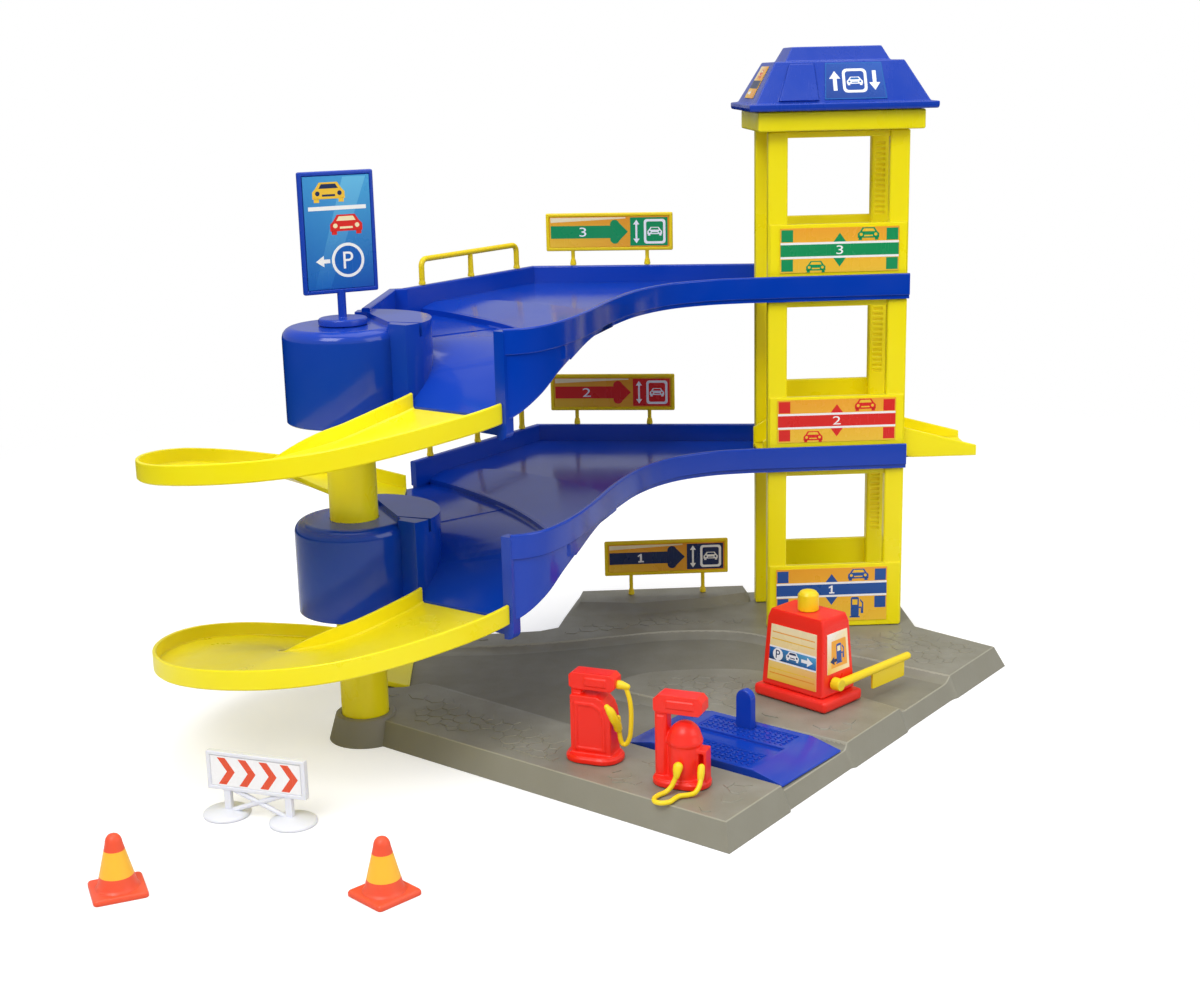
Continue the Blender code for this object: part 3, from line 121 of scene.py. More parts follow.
CHUTE = [(40.0, 14.3, 14.3), (30.0, 14.8, 14.3), (22.0, 15.8, 14.3), (14.0, 17.4, 14.3), (6.0, 19.6, 14.3),
         (-2.0, 22.4, 14.3), (-9.0, 25.2, 14.5), (-14.0, 27.2, 15.7), (-18.0, 28.9, 17.8), (-22.0, 30.6, 20.6),
         (-26.0, 32.3, 24.4), (-30.0, 34.0, 28.4), (-34.0, 35.8, 32.8), (-38.0, 37.5, 37.5)]
RAMP = [(-38.6, 72.6), (-50.0, 71.0), (-62.0, 69.0), (-77.0, 65.6), (-91.0, 62.0), (-106.0, 58.8),
        (-120.0, 56.0), (-134.0, 53.0), (-150.0, 49.5), (-165.0, 46.6), (-180.0, 43.8), (-194.0, 40.8),
        (-206.0, 37.6), (-217.0, 33.9), (-227.0, 30.2), (-237.0, 26.2), (-247.0, 22.5), (-258.0, 18.4),
        (-270.0, 14.6)]
BASE = [(-51.0, -237.0), (111.5, -38.5), (79.0, -1.0), (79.0, 71.0), (-99.0, 71.0), (-108.0, 36.0),
        (-112.0, 19.0), (-122.0, 14.0), (-209.0, 8.0), (-212.0, -95.0), (-197.0, -110.0)]
ROAD_NEAR = [(-10.0, -216.0), (-25.7, -201.5), (-83.5, -150.0), (-136.6, -101.0), (-180.0, -61.0)]
ROAD_LEFT = [(-190.0, -66.0), (-204.0, -66.0), (-204.0, -7.0)]
ROAD_FAR = [(-186.0, -7.0), (-165.0, -7.0), (-142.0, -8.0), (-112.0, -5.0), (-86.0, 0.0), (-60.0, 5.0),
            (-40.0, 5.5), (-22.0, 3.0), (-8.0, -4.0), (10.0, -19.5)]
ROAD_EXIT = [(78.1, -78.4), (96.0, -94.0), (62.0, -140.0), (43.5, -119.5)]
ROAD_ISLAND = [(3.0, -73.5), (-14.0, -61.0), (-30.0, -56.5), (-50.0, -55.8), (-68.0, -58.0), (-79.0, -64.0),
               (-84.0, -73.0), (-82.0, -82.0), (-70.0, -92.5)]
ROAD_END = [(9.7, -157.4), (26.0, -171.0)]
BANK_FOOT = [(-107.5, 36.5), (-69.0, 35.0), (-26.0, 43.5), (-4.0, 52.0), (-4.0, 70.5), (-99.2, 70.5)]
BANK_HEAD = [(-99.0, 48.0), (-66.0, 42.0), (-28.0, 47.5), (-5.0, 55.0), (-5.0, 68.0), (-96.5, 68.0)]


def srgb(*levels):
    """A colour as seen on a screen, from 0 to 255, as Blender's linear values."""
    return tuple(v / 255 / 12.92 if v / 255 <= 0.04045 else ((v / 255 + 0.055) / 1.055) ** 2.4 for v in levels)


class GarageSizes(bpy.types.PropertyGroup):
    """Sizes that may be changed before the pieces are built."""
    edge: bpy.props.FloatProperty(name="Moulded edge", description="Rounding of the moulded plastic's edges",
                                  default=0.00035, min=0.0001, max=0.001, unit="LENGTH", precision=5)
    stone: bpy.props.FloatProperty(name="Paving stone", description="Distance between the forecourt's stones",
                                   default=0.0085, min=0.004, max=0.03, unit="LENGTH")
    stone_height: bpy.props.FloatProperty(name="Stone height", description="How far a stone stands up",
                                          default=0.0003, min=0.00005, max=0.001, unit="LENGTH", precision=5)
    joint: bpy.props.FloatProperty(name="Stone share", description="Share of its cell that a stone fills",
                                   default=0.93, min=0.5, max=1.0, subtype="FACTOR")
    tread: bpy.props.FloatProperty(name="Tread pitch", description="Distance between the tread plate's diamonds",
                                   default=0.0027, min=0.001, max=0.01, unit="LENGTH", precision=4)
    floor_size: bpy.props.FloatProperty(name="Floor", description="Side of the studio floor", default=14.0,
                                        min=1.0, max=40.0, unit="LENGTH")


class GarageColours(bpy.types.PropertyGroup):
    """Colours of the plastics."""
    blue: bpy.props.FloatVectorProperty(name="Deck blue", description="Colour of decks and roof", size=3,
                                        subtype="COLOR", default=srgb(14, 62, 178), min=0.0, max=1.0)
    yellow: bpy.props.FloatVectorProperty(name="Tower yellow", description="Colour of tower, lift and ramps",
                                          size=3, subtype="COLOR", default=srgb(255, 236, 8), min=0.0, max=1.0)
    sign: bpy.props.FloatVectorProperty(name="Sign yellow", description="Colour of signs and railings", size=3,
                                        subtype="COLOR", default=srgb(246, 214, 14), min=0.0, max=1.0)
    red: bpy.props.FloatVectorProperty(name="Booth red", description="Colour of booth and pumps", size=3,
                                       subtype="COLOR", default=srgb(250, 40, 22), min=0.0, max=1.0)
    grey: bpy.props.FloatVectorProperty(name="Base grey", description="Colour of the forecourt", size=3,
                                        subtype="COLOR", default=srgb(136, 133, 118), min=0.0, max=1.0)
    white: bpy.props.FloatVectorProperty(name="Barricade white", description="Colour of the barricade", size=3,
                                         subtype="COLOR", default=srgb(234, 236, 242), min=0.0, max=1.0)
    orange: bpy.props.FloatVectorProperty(name="Cone orange", description="Colour of the cones", size=3,
                                          subtype="COLOR", default=srgb(240, 84, 48), min=0.0, max=1.0)
    band: bpy.props.FloatVectorProperty(name="Cone band", description="Colour of the cones' bands", size=3,
                                        subtype="COLOR", default=srgb(255, 190, 50), min=0.0, max=1.0)


# Lines and places
def flowing(points, parts=4):
    """A smooth line through the points, flat or in space."""
    line = []
    last = len(points) - 1
    for i in range(last):
        a, b, c, d = points[max(i - 1, 0)], points[i], points[i + 1], points[min(i + 2, last)]
        for k in range(parts):
            t = k / parts
            line.append(tuple(0.5 * (2 * q + (r - p) * t + (2 * p - 5 * q + 4 * r - s) * t * t
                                     + (3 * q - p - 3 * r + s) * t ** 3) for p, q, r, s in zip(a, b, c, d)))
    return line + [tuple(points[last])]


def offset(line, distance, closed=False):
    """The line moved to its left by a distance."""
    moved = []
    count = len(line)
    for i, (x, y) in enumerate(line):
        sides = []
        for j, k in ((i - 1, i), (i, i + 1)):
            if not closed and (j < 0 or k >= count):
                continue
            p, q = line[j], line[k % count]
            length = math.hypot(q[0] - p[0], q[1] - p[1])
            sides.append((-(q[1] - p[1]) / length, (q[0] - p[0]) / length))
        if len(sides) == 1:
            moved.append((x + sides[0][0] * distance, y + sides[0][1] * distance))
            continue
        (ax, ay), (bx, by) = sides
        scale = distance / (1.0 + ax * bx + ay * by)
        moved.append((x + (ax + bx) * scale, y + (ay + by) * scale))
    return moved


def polar(radius, degrees):
    """A place at a distance and a bearing from the column's axis."""
    return (AXIS[0] + radius * math.cos(math.radians(degrees)), AXIS[1] + radius * math.sin(math.radians(degrees)))


def bearing(point):
    """The bearing of a place from the column's axis."""
    return math.degrees(math.atan2(point[1] - AXIS[1], point[0] - AXIS[0]))


def reach(path, degrees):
    """How far a line goes from the column's axis before it meets the path."""
    ux, uy = math.cos(math.radians(degrees)), math.sin(math.radians(degrees))
    best = None
    for (ax, ay), (bx, by) in zip(path, path[1:]):
        ax, ay, bx, by = ax - AXIS[0], ay - AXIS[1], bx - AXIS[0], by - AXIS[1]
        ex, ey = bx - ax, by - ay
        det = ex * uy - ey * ux
        if abs(det) < PARALLEL:
            continue
        share = (ay * ux - ax * uy) / det
        distance = (ax + ex * share) * ux + (ay + ey * share) * uy
        if -0.001 <= share <= 1.001 and distance > 0 and (best is None or distance < best):
            best = distance
    return best


def read(table, value, column=1):
    """Smooth reading of a table whose first column falls."""
    last = len(table) - 1
    for i in range(last):
        if table[i][0] >= value >= table[i + 1][0]:
            span = table[i][0] - table[i + 1][0]
            t = (table[i][0] - value) / span
            p, q, r, s = (table[k][column] for k in (max(i - 1, 0), i, i + 1, min(i + 2, last)))
            m0 = (r - p) / 2 if i else r - q
            m1 = (s - q) / 2 if i + 1 < last else r - q
            return ((2 * t ** 3 - 3 * t * t + 1) * q + (t ** 3 - 2 * t * t + t) * m0
                    + (3 * t * t - 2 * t ** 3) * r + (t ** 3 - t * t) * m1)
    return table[-1][column]


def turned(x, y, angle, cx, cy):
    """A place turned about the origin and then moved."""
    return (cx + x * math.cos(angle) - y * math.sin(angle), cy + x * math.sin(angle) + y * math.cos(angle))


def inside(outline, x, y):
    """Whether a place lies inside an outline."""
    hit = False
    for (ax, ay), (bx, by) in zip(outline, outline[1:] + outline[:1]):
        if (ay > y) != (by > y) and x < (bx - ax) * (y - ay) / (by - ay) + ax:
            hit = not hit
    return hit


def depth(outline, x, y):
    """Distance to an outline, positive inside it."""
    best = 1e9
    for (ax, ay), (bx, by) in zip(outline, outline[1:] + outline[:1]):
        ex, ey = bx - ax, by - ay
        t = max(0.0, min(1.0, ((x - ax) * ex + (y - ay) * ey) / (ex * ex + ey * ey)))
        best = min(best, math.hypot(x - ax - ex * t, y - ay - ey * t))
    return best if inside(outline, x, y) else -best


def ease(t):
    """A smooth step from 0 to 1."""
    t = max(0.0, min(1.0, t))
    return t * t * (3 - 2 * t)


def walked(line, pitch, closed=True):
    """Points along a line, no further apart than the pitch, with its corners kept."""
    points = []
    ends = line[1:] + line[:1] if closed else line[1:]
    for (ax, ay), (bx, by) in zip(line, ends):
        parts = max(1, math.ceil(math.hypot(bx - ax, by - ay) / pitch))
        points += [(ax + (bx - ax) * k / parts, ay + (by - ay) * k / parts) for k in range(parts)]
    return points if closed else points + [line[-1]]


def rounded(x0, x1, y0, y1, corner, parts):
    """A rectangle's outline with each corner as an arc of some parts."""
    outline = []
    for x, y, start in ((x1 - corner, y1 - corner, 0), (x0 + corner, y1 - corner, 90),
                        (x0 + corner, y0 + corner, 180), (x1 - corner, y0 + corner, 270)):
        for k in range(parts + 1):
            a = math.radians(start + 90 * k / parts)
            outline.append((x + corner * math.cos(a), y + corner * math.sin(a)))
    return outline


def in_frame(points):
    """Places in the tower's millimetres as places in the frame's metres."""
    return [((x + SHIFT[0]) * MM, (y + SHIFT[1]) * MM, z * MM) for x, y, z in points]


class Shape:
    """Surfaces gathered for one piece, in millimetres; a surface's ink is the number of its material."""

    def __init__(self):
        self.points, self.faces, self.inks = [], [], []

    def add(self, points, faces, ink=0):
        """Takes in points and the faces between them."""
        start = len(self.points)
        self.points += [tuple(p) for p in points]
        self.faces += [[start + i for i in face] for face in faces]
        self.inks += [ink] * len(faces)
        return self

    def loft(self, sections, caps=True, ring=True, loop=False, ink=0):
        """Joins like sections; ring closes each section on itself, loop joins the last to the first."""
        rows, count = len(sections), len(sections[0])
        faces = []
        for i in range(rows if loop else rows - 1):
            a, b = i * count, (i + 1) % rows * count
            for k in range(count if ring else count - 1):
                m = (k + 1) % count
                faces.append((a + k, a + m, b + m, b + k))
        if caps and not loop:
            faces.append(tuple(range(count))[::-1])
            faces.append(tuple(range((rows - 1) * count, rows * count)))
        return self.add([p for section in sections for p in section], faces, ink)

    def plate(self, outline, z0, z1):
        """A flat body over an outline."""
        return self.loft([[(x, y, z) for x, y in outline] for z in (z0, z1)])

    def wall(self, path, inner, outer, z0, z1, top=0.8, foot=0.3):
        """An upright wall along an open path with a rounded top."""
        profile = []
        for d, z, r, sx, sz, start in ((inner, z0, foot, 1, 1, 180), (outer, z0, foot, -1, 1, 270),
                                       (outer, z1, top, -1, -1, 0), (inner, z1, top, 1, -1, 90)):
            for k in range(4):
                a = math.radians(start + 30 * k)
                profile.append((d + sx * r + r * math.cos(a), z + sz * r + r * math.sin(a)))
        lines = [(offset(path, d), z) for d, z in profile]
        return self.loft([[(*line[i], z) for line, z in lines] for i in range(len(path))])

    def turn(self, profile, x, y, steps=48, ink=0):
        """A round body about an upright axis; each point of the profile is a radius and a height."""
        sections = []
        for i in range(steps):
            a = 2 * math.pi * i / steps
            sections.append([(x + r * math.cos(a), y + r * math.sin(a), z) for r, z in profile])
        return self.loft(sections, ring=False, loop=True, ink=ink)

    def tube(self, line, radius, sides=14, ends=True):
        """A round bar along a line in space, with rounded ends; radius is one value or one per point."""
        line = [Vector(p) for p in line]
        radii = radius if isinstance(radius, (list, tuple)) else [radius] * len(line)
        if ends:
            first, last = (line[0] - line[1]).normalized(), (line[-1] - line[-2]).normalized()
            dome = [(math.sin(a), math.cos(a)) for a in (0.4, 0.8, 1.2, 1.5)]
            line = ([line[0] + first * radii[0] * s for s, _ in dome[::-1]] + line
                    + [line[-1] + last * radii[-1] * s for s, _ in dome])
            radii = [radii[0] * c for _, c in dome[::-1]] + list(radii) + [radii[-1] * c for _, c in dome]
        sections = []
        side = None
        angles = [2 * math.pi * k / sides for k in range(sides)]
        for i, p in enumerate(line):
            way = (line[min(i + 1, len(line) - 1)] - line[max(i - 1, 0)]).normalized()
            if side is None:
                side = way.orthogonal().normalized()
            side = (side - way * side.dot(way)).normalized()
            up = way.cross(side)
            sections.append([p + (side * math.cos(a) + up * math.sin(a)) * radii[i] for a in angles])
        return self.loft(sections)

    def block(self, x0, x1, y0, y1, z0, z1, at, turn, corner):
        """A block with its upright corners rounded."""
        return self.plate([turned(x, y, turn, *at) for x, y in rounded(x0, x1, y0, y1, corner, 6)], z0, z1)

    def profile(self, outline, y0, y1, at, turn):
        """An upright outline in x and z, given its thickness in y."""
        return self.loft([[(*turned(x, y, turn, *at), z) for x, z in outline] for y in (y0, y1)])


# Making pieces
MERGE = 2e-6  # Points closer than this many metres are one
FLAT = math.radians(0.6)
EDGE_SEGMENTS = 2
VOXEL = 0.35
MELT_ROUNDS = 4


def linked(name, mesh):
    """A new object in the scene."""
    ob = bpy.data.objects.new(name, mesh)
    bpy.context.scene.collection.objects.link(ob)
    return ob


def plain_mesh(ob):
    """The object's mesh with its modifiers applied; the object goes."""
    graph = bpy.context.evaluated_depsgraph_get()
    graph.update()
    mesh = bpy.data.meshes.new_from_object(ob.evaluated_get(graph), preserve_all_data_layers=True, depsgraph=graph)
    bpy.data.objects.remove(ob, do_unlink=True)
    return mesh


def attach(mesh, name, body, nodes):
    """A finished mesh as a named piece at the origin, which rides on its body in place of the nodes."""
    mesh.name = name
    piece = linked(name, mesh)
    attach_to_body(piece, body)
    if nodes:
        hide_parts(*nodes)


def soften(ob, width, sharp, clamp=True):
    """Rounds the sharp edges, and shades the rest smoothly."""
    bm = bmesh.new()
    bm.from_mesh(ob.data)
    limit = math.radians(sharp)
    for edge in bm.edges:
        edge.smooth = len(edge.link_faces) == 2 and edge.calc_face_angle(0.0) < limit
    for face in bm.faces:
        face.smooth = True
    bm.to_mesh(ob.data)
    bm.free()
    if width:
        bevel = ob.modifiers.new("moulded edge", "BEVEL")
        bevel.width = width
        bevel.segments = EDGE_SEGMENTS
        bevel.limit_method = "ANGLE"
        bevel.angle_limit = limit
        bevel.use_clamp_overlap = clamp
    weighted = ob.modifiers.new("flat faces", "WEIGHTED_NORMAL")
    weighted.keep_sharp = True
    weighted.weight = 80


def shell(shape, name, plastics, thin=True):
    """The gathered surfaces as one mesh with its doubles merged and its faces outwards."""
    mesh = bpy.data.meshes.new(name)
    mesh.from_pydata(in_frame(shape.points), [], shape.faces)
    for plastic in plastics:
        mesh.materials.append(finish(plastic))
    for polygon, ink in zip(mesh.polygons, shape.inks):
        polygon.material_index = ink
    bm = bmesh.new()
    bm.from_mesh(mesh)
    bmesh.ops.remove_doubles(bm, verts=bm.verts, dist=MERGE)
    if thin:
        bmesh.ops.dissolve_degenerate(bm, edges=bm.edges, dist=MERGE / 2)
    bmesh.ops.recalc_face_normals(bm, faces=bm.faces)
    bm.to_mesh(mesh)
    bm.free()
    return mesh


def piece_from(shape, node, *plastics, body="garage", name=None, edge=0.0, sharp=35.0):
    """Turns gathered surfaces into a finished piece in place of a node; the plastics become its materials in order,
    and each surface's ink picks one.
    """
    name = name or node + "_moulding"
    ob = linked(name + " work", shell(shape, name, plastics))
    soften(ob, edge, sharp)
    attach(plain_mesh(ob), name, body, (node,))


def refined(node, plastic, edge=None, sharp=50.0):
    """A copy of a frame part with its faces merged, its edges rounded and its shading smooth."""
    source = frame["nodes"][node]
    mesh = source.data.copy()
    bm = bmesh.new()
    bm.from_mesh(mesh)
    bmesh.ops.remove_doubles(bm, verts=bm.verts, dist=MERGE)
    bmesh.ops.dissolve_limit(bm, angle_limit=FLAT, verts=bm.verts, edges=bm.edges)
    bm.to_mesh(mesh)
    bm.free()
    mesh.materials.clear()
    mesh.materials.append(finish(plastic))
    ob = linked(node + " work", mesh)
    soften(ob, edge or bpy.context.scene.garage_sizes.edge, sharp, clamp=False)
    attach(plain_mesh(ob), node + "_finish", source["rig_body"], (node,))


def melted(shape, node, plastic):
    """One smooth moulding from overlapping bodies."""
    name = node + "_moulding"
    ob = linked(name + " work", shell(shape, name, (plastic,), thin=False))
    remesh = ob.modifiers.new("one moulding", "REMESH")
    remesh.mode = "VOXEL"
    remesh.voxel_size = VOXEL * MM
    remesh.use_smooth_shade = True
    smooth = ob.modifiers.new("soft moulding", "SMOOTH")
    smooth.factor = 0.5
    smooth.iterations = MELT_ROUNDS
    attach(plain_mesh(ob), name, "garage", (node,))


# Finishes
def fed(tree, node, inputs):
    """Gives each input of a node its value, or the socket that feeds it."""
    for label, value in inputs.items():
        if isinstance(value, bpy.types.NodeSocket):
            tree.links.new(value, node.inputs[label])
        else:
            node.inputs[label].default_value = value
    return node


def wired(tree, kind, inputs, **settings):
    """A new node with its settings and inputs."""
    node = tree.nodes.new(kind)
    for label, value in settings.items():
        setattr(node, label, value)
    return fed(tree, node, inputs)


def maths(tree, kind, *values):
    """A sum of values or sockets."""
    return wired(tree, "ShaderNodeMath", dict(enumerate(values)), operation=kind).outputs["Value"]


def ranged(tree, value, **limits):
    """A value carried from one range to another."""
    inputs = {label.replace("_", " ").title(): limit for label, limit in limits.items()}
    return wired(tree, "ShaderNodeMapRange", {"Value": value, **inputs}).outputs["Result"]


def mixed(tree, factor, a, b):
    """A colour between two."""
    return wired(tree, "ShaderNodeMix", {"Factor": factor, "A": a, "B": b}, data_type="RGBA").outputs["Result"]


def new_group(name, kind, inputs, outputs):
    """A node group with its sockets; an input is a kind of socket, or a number, which is its default."""
    group = bpy.data.node_groups.new(name, kind)
    for label, value in inputs.items():
        sort = value if isinstance(value, str) else "Float"
        socket = group.interface.new_socket(label, in_out="INPUT", socket_type="NodeSocket" + sort)
        if sort == "Float":
            socket.default_value = value
    for label, sort in outputs.items():
        group.interface.new_socket(label, in_out="OUTPUT", socket_type="NodeSocket" + sort)
    return group, group.nodes.new("NodeGroupInput").outputs, group.nodes.new("NodeGroupOutput")


def grain_group():
    """Moulded plastic: flow marks in the colour, uneven gloss, fine rubbing marks and a faint skin."""
    group, ins, outs = new_group(
        "moulded plastic", "ShaderNodeTree",
        {"Colour": "Color", "Variation": 0.08, "Gloss low": 0.2, "Gloss high": 0.4, "Rubbing": 0.3, "Skin": 0.1,
         "Skin size": 900.0}, {"Colour": "Color", "Roughness": "Float", "Normal": "Vector"})
    place = group.nodes.new("ShaderNodeTexCoord").outputs["Object"]

    def cloud(scale, detail, rough=0.5, source=place):
        return wired(group, "ShaderNodeTexNoise", {"Vector": source, "Scale": scale, "Detail": detail,
                                                   "Roughness": rough}).outputs["Fac"]

    flow = cloud(16.0, 3.0)
    shift = maths(group, "MULTIPLY", maths(group, "SUBTRACT", flow, 0.5), ins["Variation"])
    tinted = wired(group, "ShaderNodeHueSaturation", {
        "Color": ins["Colour"], "Value": maths(group, "ADD", shift, 1.0),
        "Saturation": maths(group, "MULTIPLY_ADD", shift, -0.6, 1.0)})
    gloss = ranged(group, cloud(34.0, 4.0, 0.6), from_min=0.3, from_max=0.7, to_min=ins["Gloss low"],
                   to_max=ins["Gloss high"])
    drawn = wired(group, "ShaderNodeMapping", {"Vector": place, "Scale": (2600.0, 120.0, 120.0),
                                               "Rotation": (0.4, 0.9, 0.6)})
    lines = maths(group, "GREATER_THAN", cloud(1.0, 2.0, 0.5, drawn.outputs["Vector"]), 0.66)
    height = maths(group, "MULTIPLY_ADD", flow, 6.0, cloud(ins["Skin size"], 1.0))
    bump = wired(group, "ShaderNodeBump", {"Distance": 0.0001, "Strength": ins["Skin"], "Height": height})
    fed(group, outs, {
        "Colour": tinted.outputs["Color"], "Normal": bump.outputs["Normal"],
        "Roughness": maths(group, "MULTIPLY_ADD", maths(group, "MULTIPLY", lines, ins["Rubbing"]), 0.25, gloss)})
    return group


def dust_group():
    """Pale dust that gathers on upward faces and in patches."""
    group, ins, outs = new_group("settled dust", "ShaderNodeTree",
                                 {"Colour": "Color", "Amount": 0.1, "Patch size": 60.0},
                                 {"Colour": "Color", "Mask": "Float"})
    place = group.nodes.new("ShaderNodeTexCoord").outputs["Object"]
    normal = group.nodes.new("ShaderNodeNewGeometry").outputs["Normal"]
    facing = wired(group, "ShaderNodeSeparateXYZ", {"Vector": normal}).outputs["Z"]
    cloud = wired(group, "ShaderNodeTexNoise", {"Vector": place, "Scale": ins["Patch size"], "Detail": 5.0})
    patch = ranged(group, cloud.outputs["Fac"], from_min=0.42, from_max=0.7)
    both = maths(group, "MULTIPLY", ranged(group, facing, from_min=0.2), patch)
    amount = maths(group, "MULTIPLY", both, ins["Amount"])
    fed(group, outs, {"Colour": mixed(group, amount, ins["Colour"], (0.72, 0.72, 0.70, 1.0)), "Mask": amount})
    return group


PLASTIC_IOR = 1.48
GLOW_RADIUS, GLOW_DEPTH = (1.0, 0.8, 0.15), 0.004
# Each finish: its colour in the sidebar and how much of it, gloss from and to, uneven colour, rubbing marks, skin,
# the skin's fineness, dust, and how much light it lets in. Without a colour it shows the print's own inks.
FINISHES = {
    "deck_blue": ("blue", 1.0, 0.1, 0.18, 0.12, 0.1, 0.03, 500.0, 0.0, 0.0),
    "roof_blue": ("blue", 1.0, 0.22, 0.34, 0.12, 0.2, 0.05, 900.0, 0.05, 0.0),
    "tower_yellow": ("yellow", 1.0, 0.25, 0.4, 0.06, 0.25, 0.05, 900.0, 0.02, 0.25),
    "sign_yellow": ("sign", 1.0, 0.28, 0.42, 0.08, 0.3, 0.06, 900.0, 0.03, 0.12),
    "booth_red": ("red", 1.0, 0.26, 0.4, 0.08, 0.3, 0.08, 900.0, 0.03, 0.12),
    "base_grey": ("grey", 1.0, 0.34, 0.5, 0.1, 0.5, 0.25, 1400.0, 0.1, 0.0),
    "road_grey": ("grey", 0.86, 0.5, 0.62, 0.08, 0.4, 0.5, 1800.0, 0.05, 0.0),
    # A painted highlight: the base's grey made half as bright again along its rim's chamfer and the road's lip
    "base_edge": ("grey", 1.5, 0.25, 0.35, 0.08, 0.3, 0.1, 1400.0, 0.05, 0.0),
    "barricade_white": ("white", 1.0, 0.28, 0.4, 0.05, 0.3, 0.06, 900.0, 0.0, 0.1),
    "cone_orange": ("orange", 1.0, 0.34, 0.5, 0.1, 0.4, 0.12, 900.0, 0.05, 0.15),
    "cone_band": ("band", 1.0, 0.3, 0.45, 0.1, 0.3, 0.1, 900.0, 0.0, 0.12),
    "printed_film": (None, 1.0, 0.22, 0.34, 0.05, 0.2, 0.04, 1600.0, 0.0, 0.0),
}


def finish(plastic):
    """The material of a finish, made once and kept by name."""
    name = plastic.replace("_", " ")
    if name in bpy.data.materials:
        return bpy.data.materials[name]
    colour, share, low, high, variation, rubbing, skin, fineness, dust, glow = FINISHES[plastic]
    mat = bpy.data.materials.new(name)
    mat.use_nodes = True
    tree = mat.node_tree
    groups = []
    for label, maker in (("moulded plastic", grain_group), ("settled dust", dust_group)):
        groups.append(tree.nodes.new("ShaderNodeGroup"))
        groups[-1].node_tree = bpy.data.node_groups.get(label) or maker()
    grain, dusty = groups
    if colour:
        tint = (*(v * share for v in getattr(bpy.context.scene.garage_colours, colour)), 1.0)
    else:
        tint = wired(tree, "ShaderNodeAttribute", {}, attribute_name="ink").outputs["Color"]
    fed(tree, grain, {"Colour": tint, "Variation": variation, "Gloss low": low, "Gloss high": high,
                      "Rubbing": rubbing, "Skin": skin, "Skin size": fineness})
    fed(tree, dusty, {"Amount": dust, "Colour": grain.outputs["Colour"]})
    shader = fed(tree, tree.nodes["Principled BSDF"], {
        "Base Color": dusty.outputs["Colour"], "Roughness": grain.outputs["Roughness"],
        "Normal": grain.outputs["Normal"], "IOR": PLASTIC_IOR})
    if glow:
        fed(tree, shader, {"Subsurface Weight": glow, "Subsurface Radius": GLOW_RADIUS,
                           "Subsurface Scale": GLOW_DEPTH})
    return mat


INK = {
    "cream": srgb(253, 236, 190), "gold": srgb(247, 200, 60), "amber": srgb(246, 170, 50),
    "orange": srgb(240, 150, 40), "white": srgb(250, 250, 250), "green": srgb(24, 150, 90),
    "red": srgb(225, 40, 34), "blue": srgb(36, 84, 160), "navy": srgb(24, 46, 92),
    "sky": srgb(92, 178, 224), "deep": srgb(28, 104, 182), "coral": srgb(232, 84, 50),
}
INK_STEP = 0.022  # Thickness of one layer of print
LABEL_LIFT = 0.4  # How far a label's face stands out from what carries it


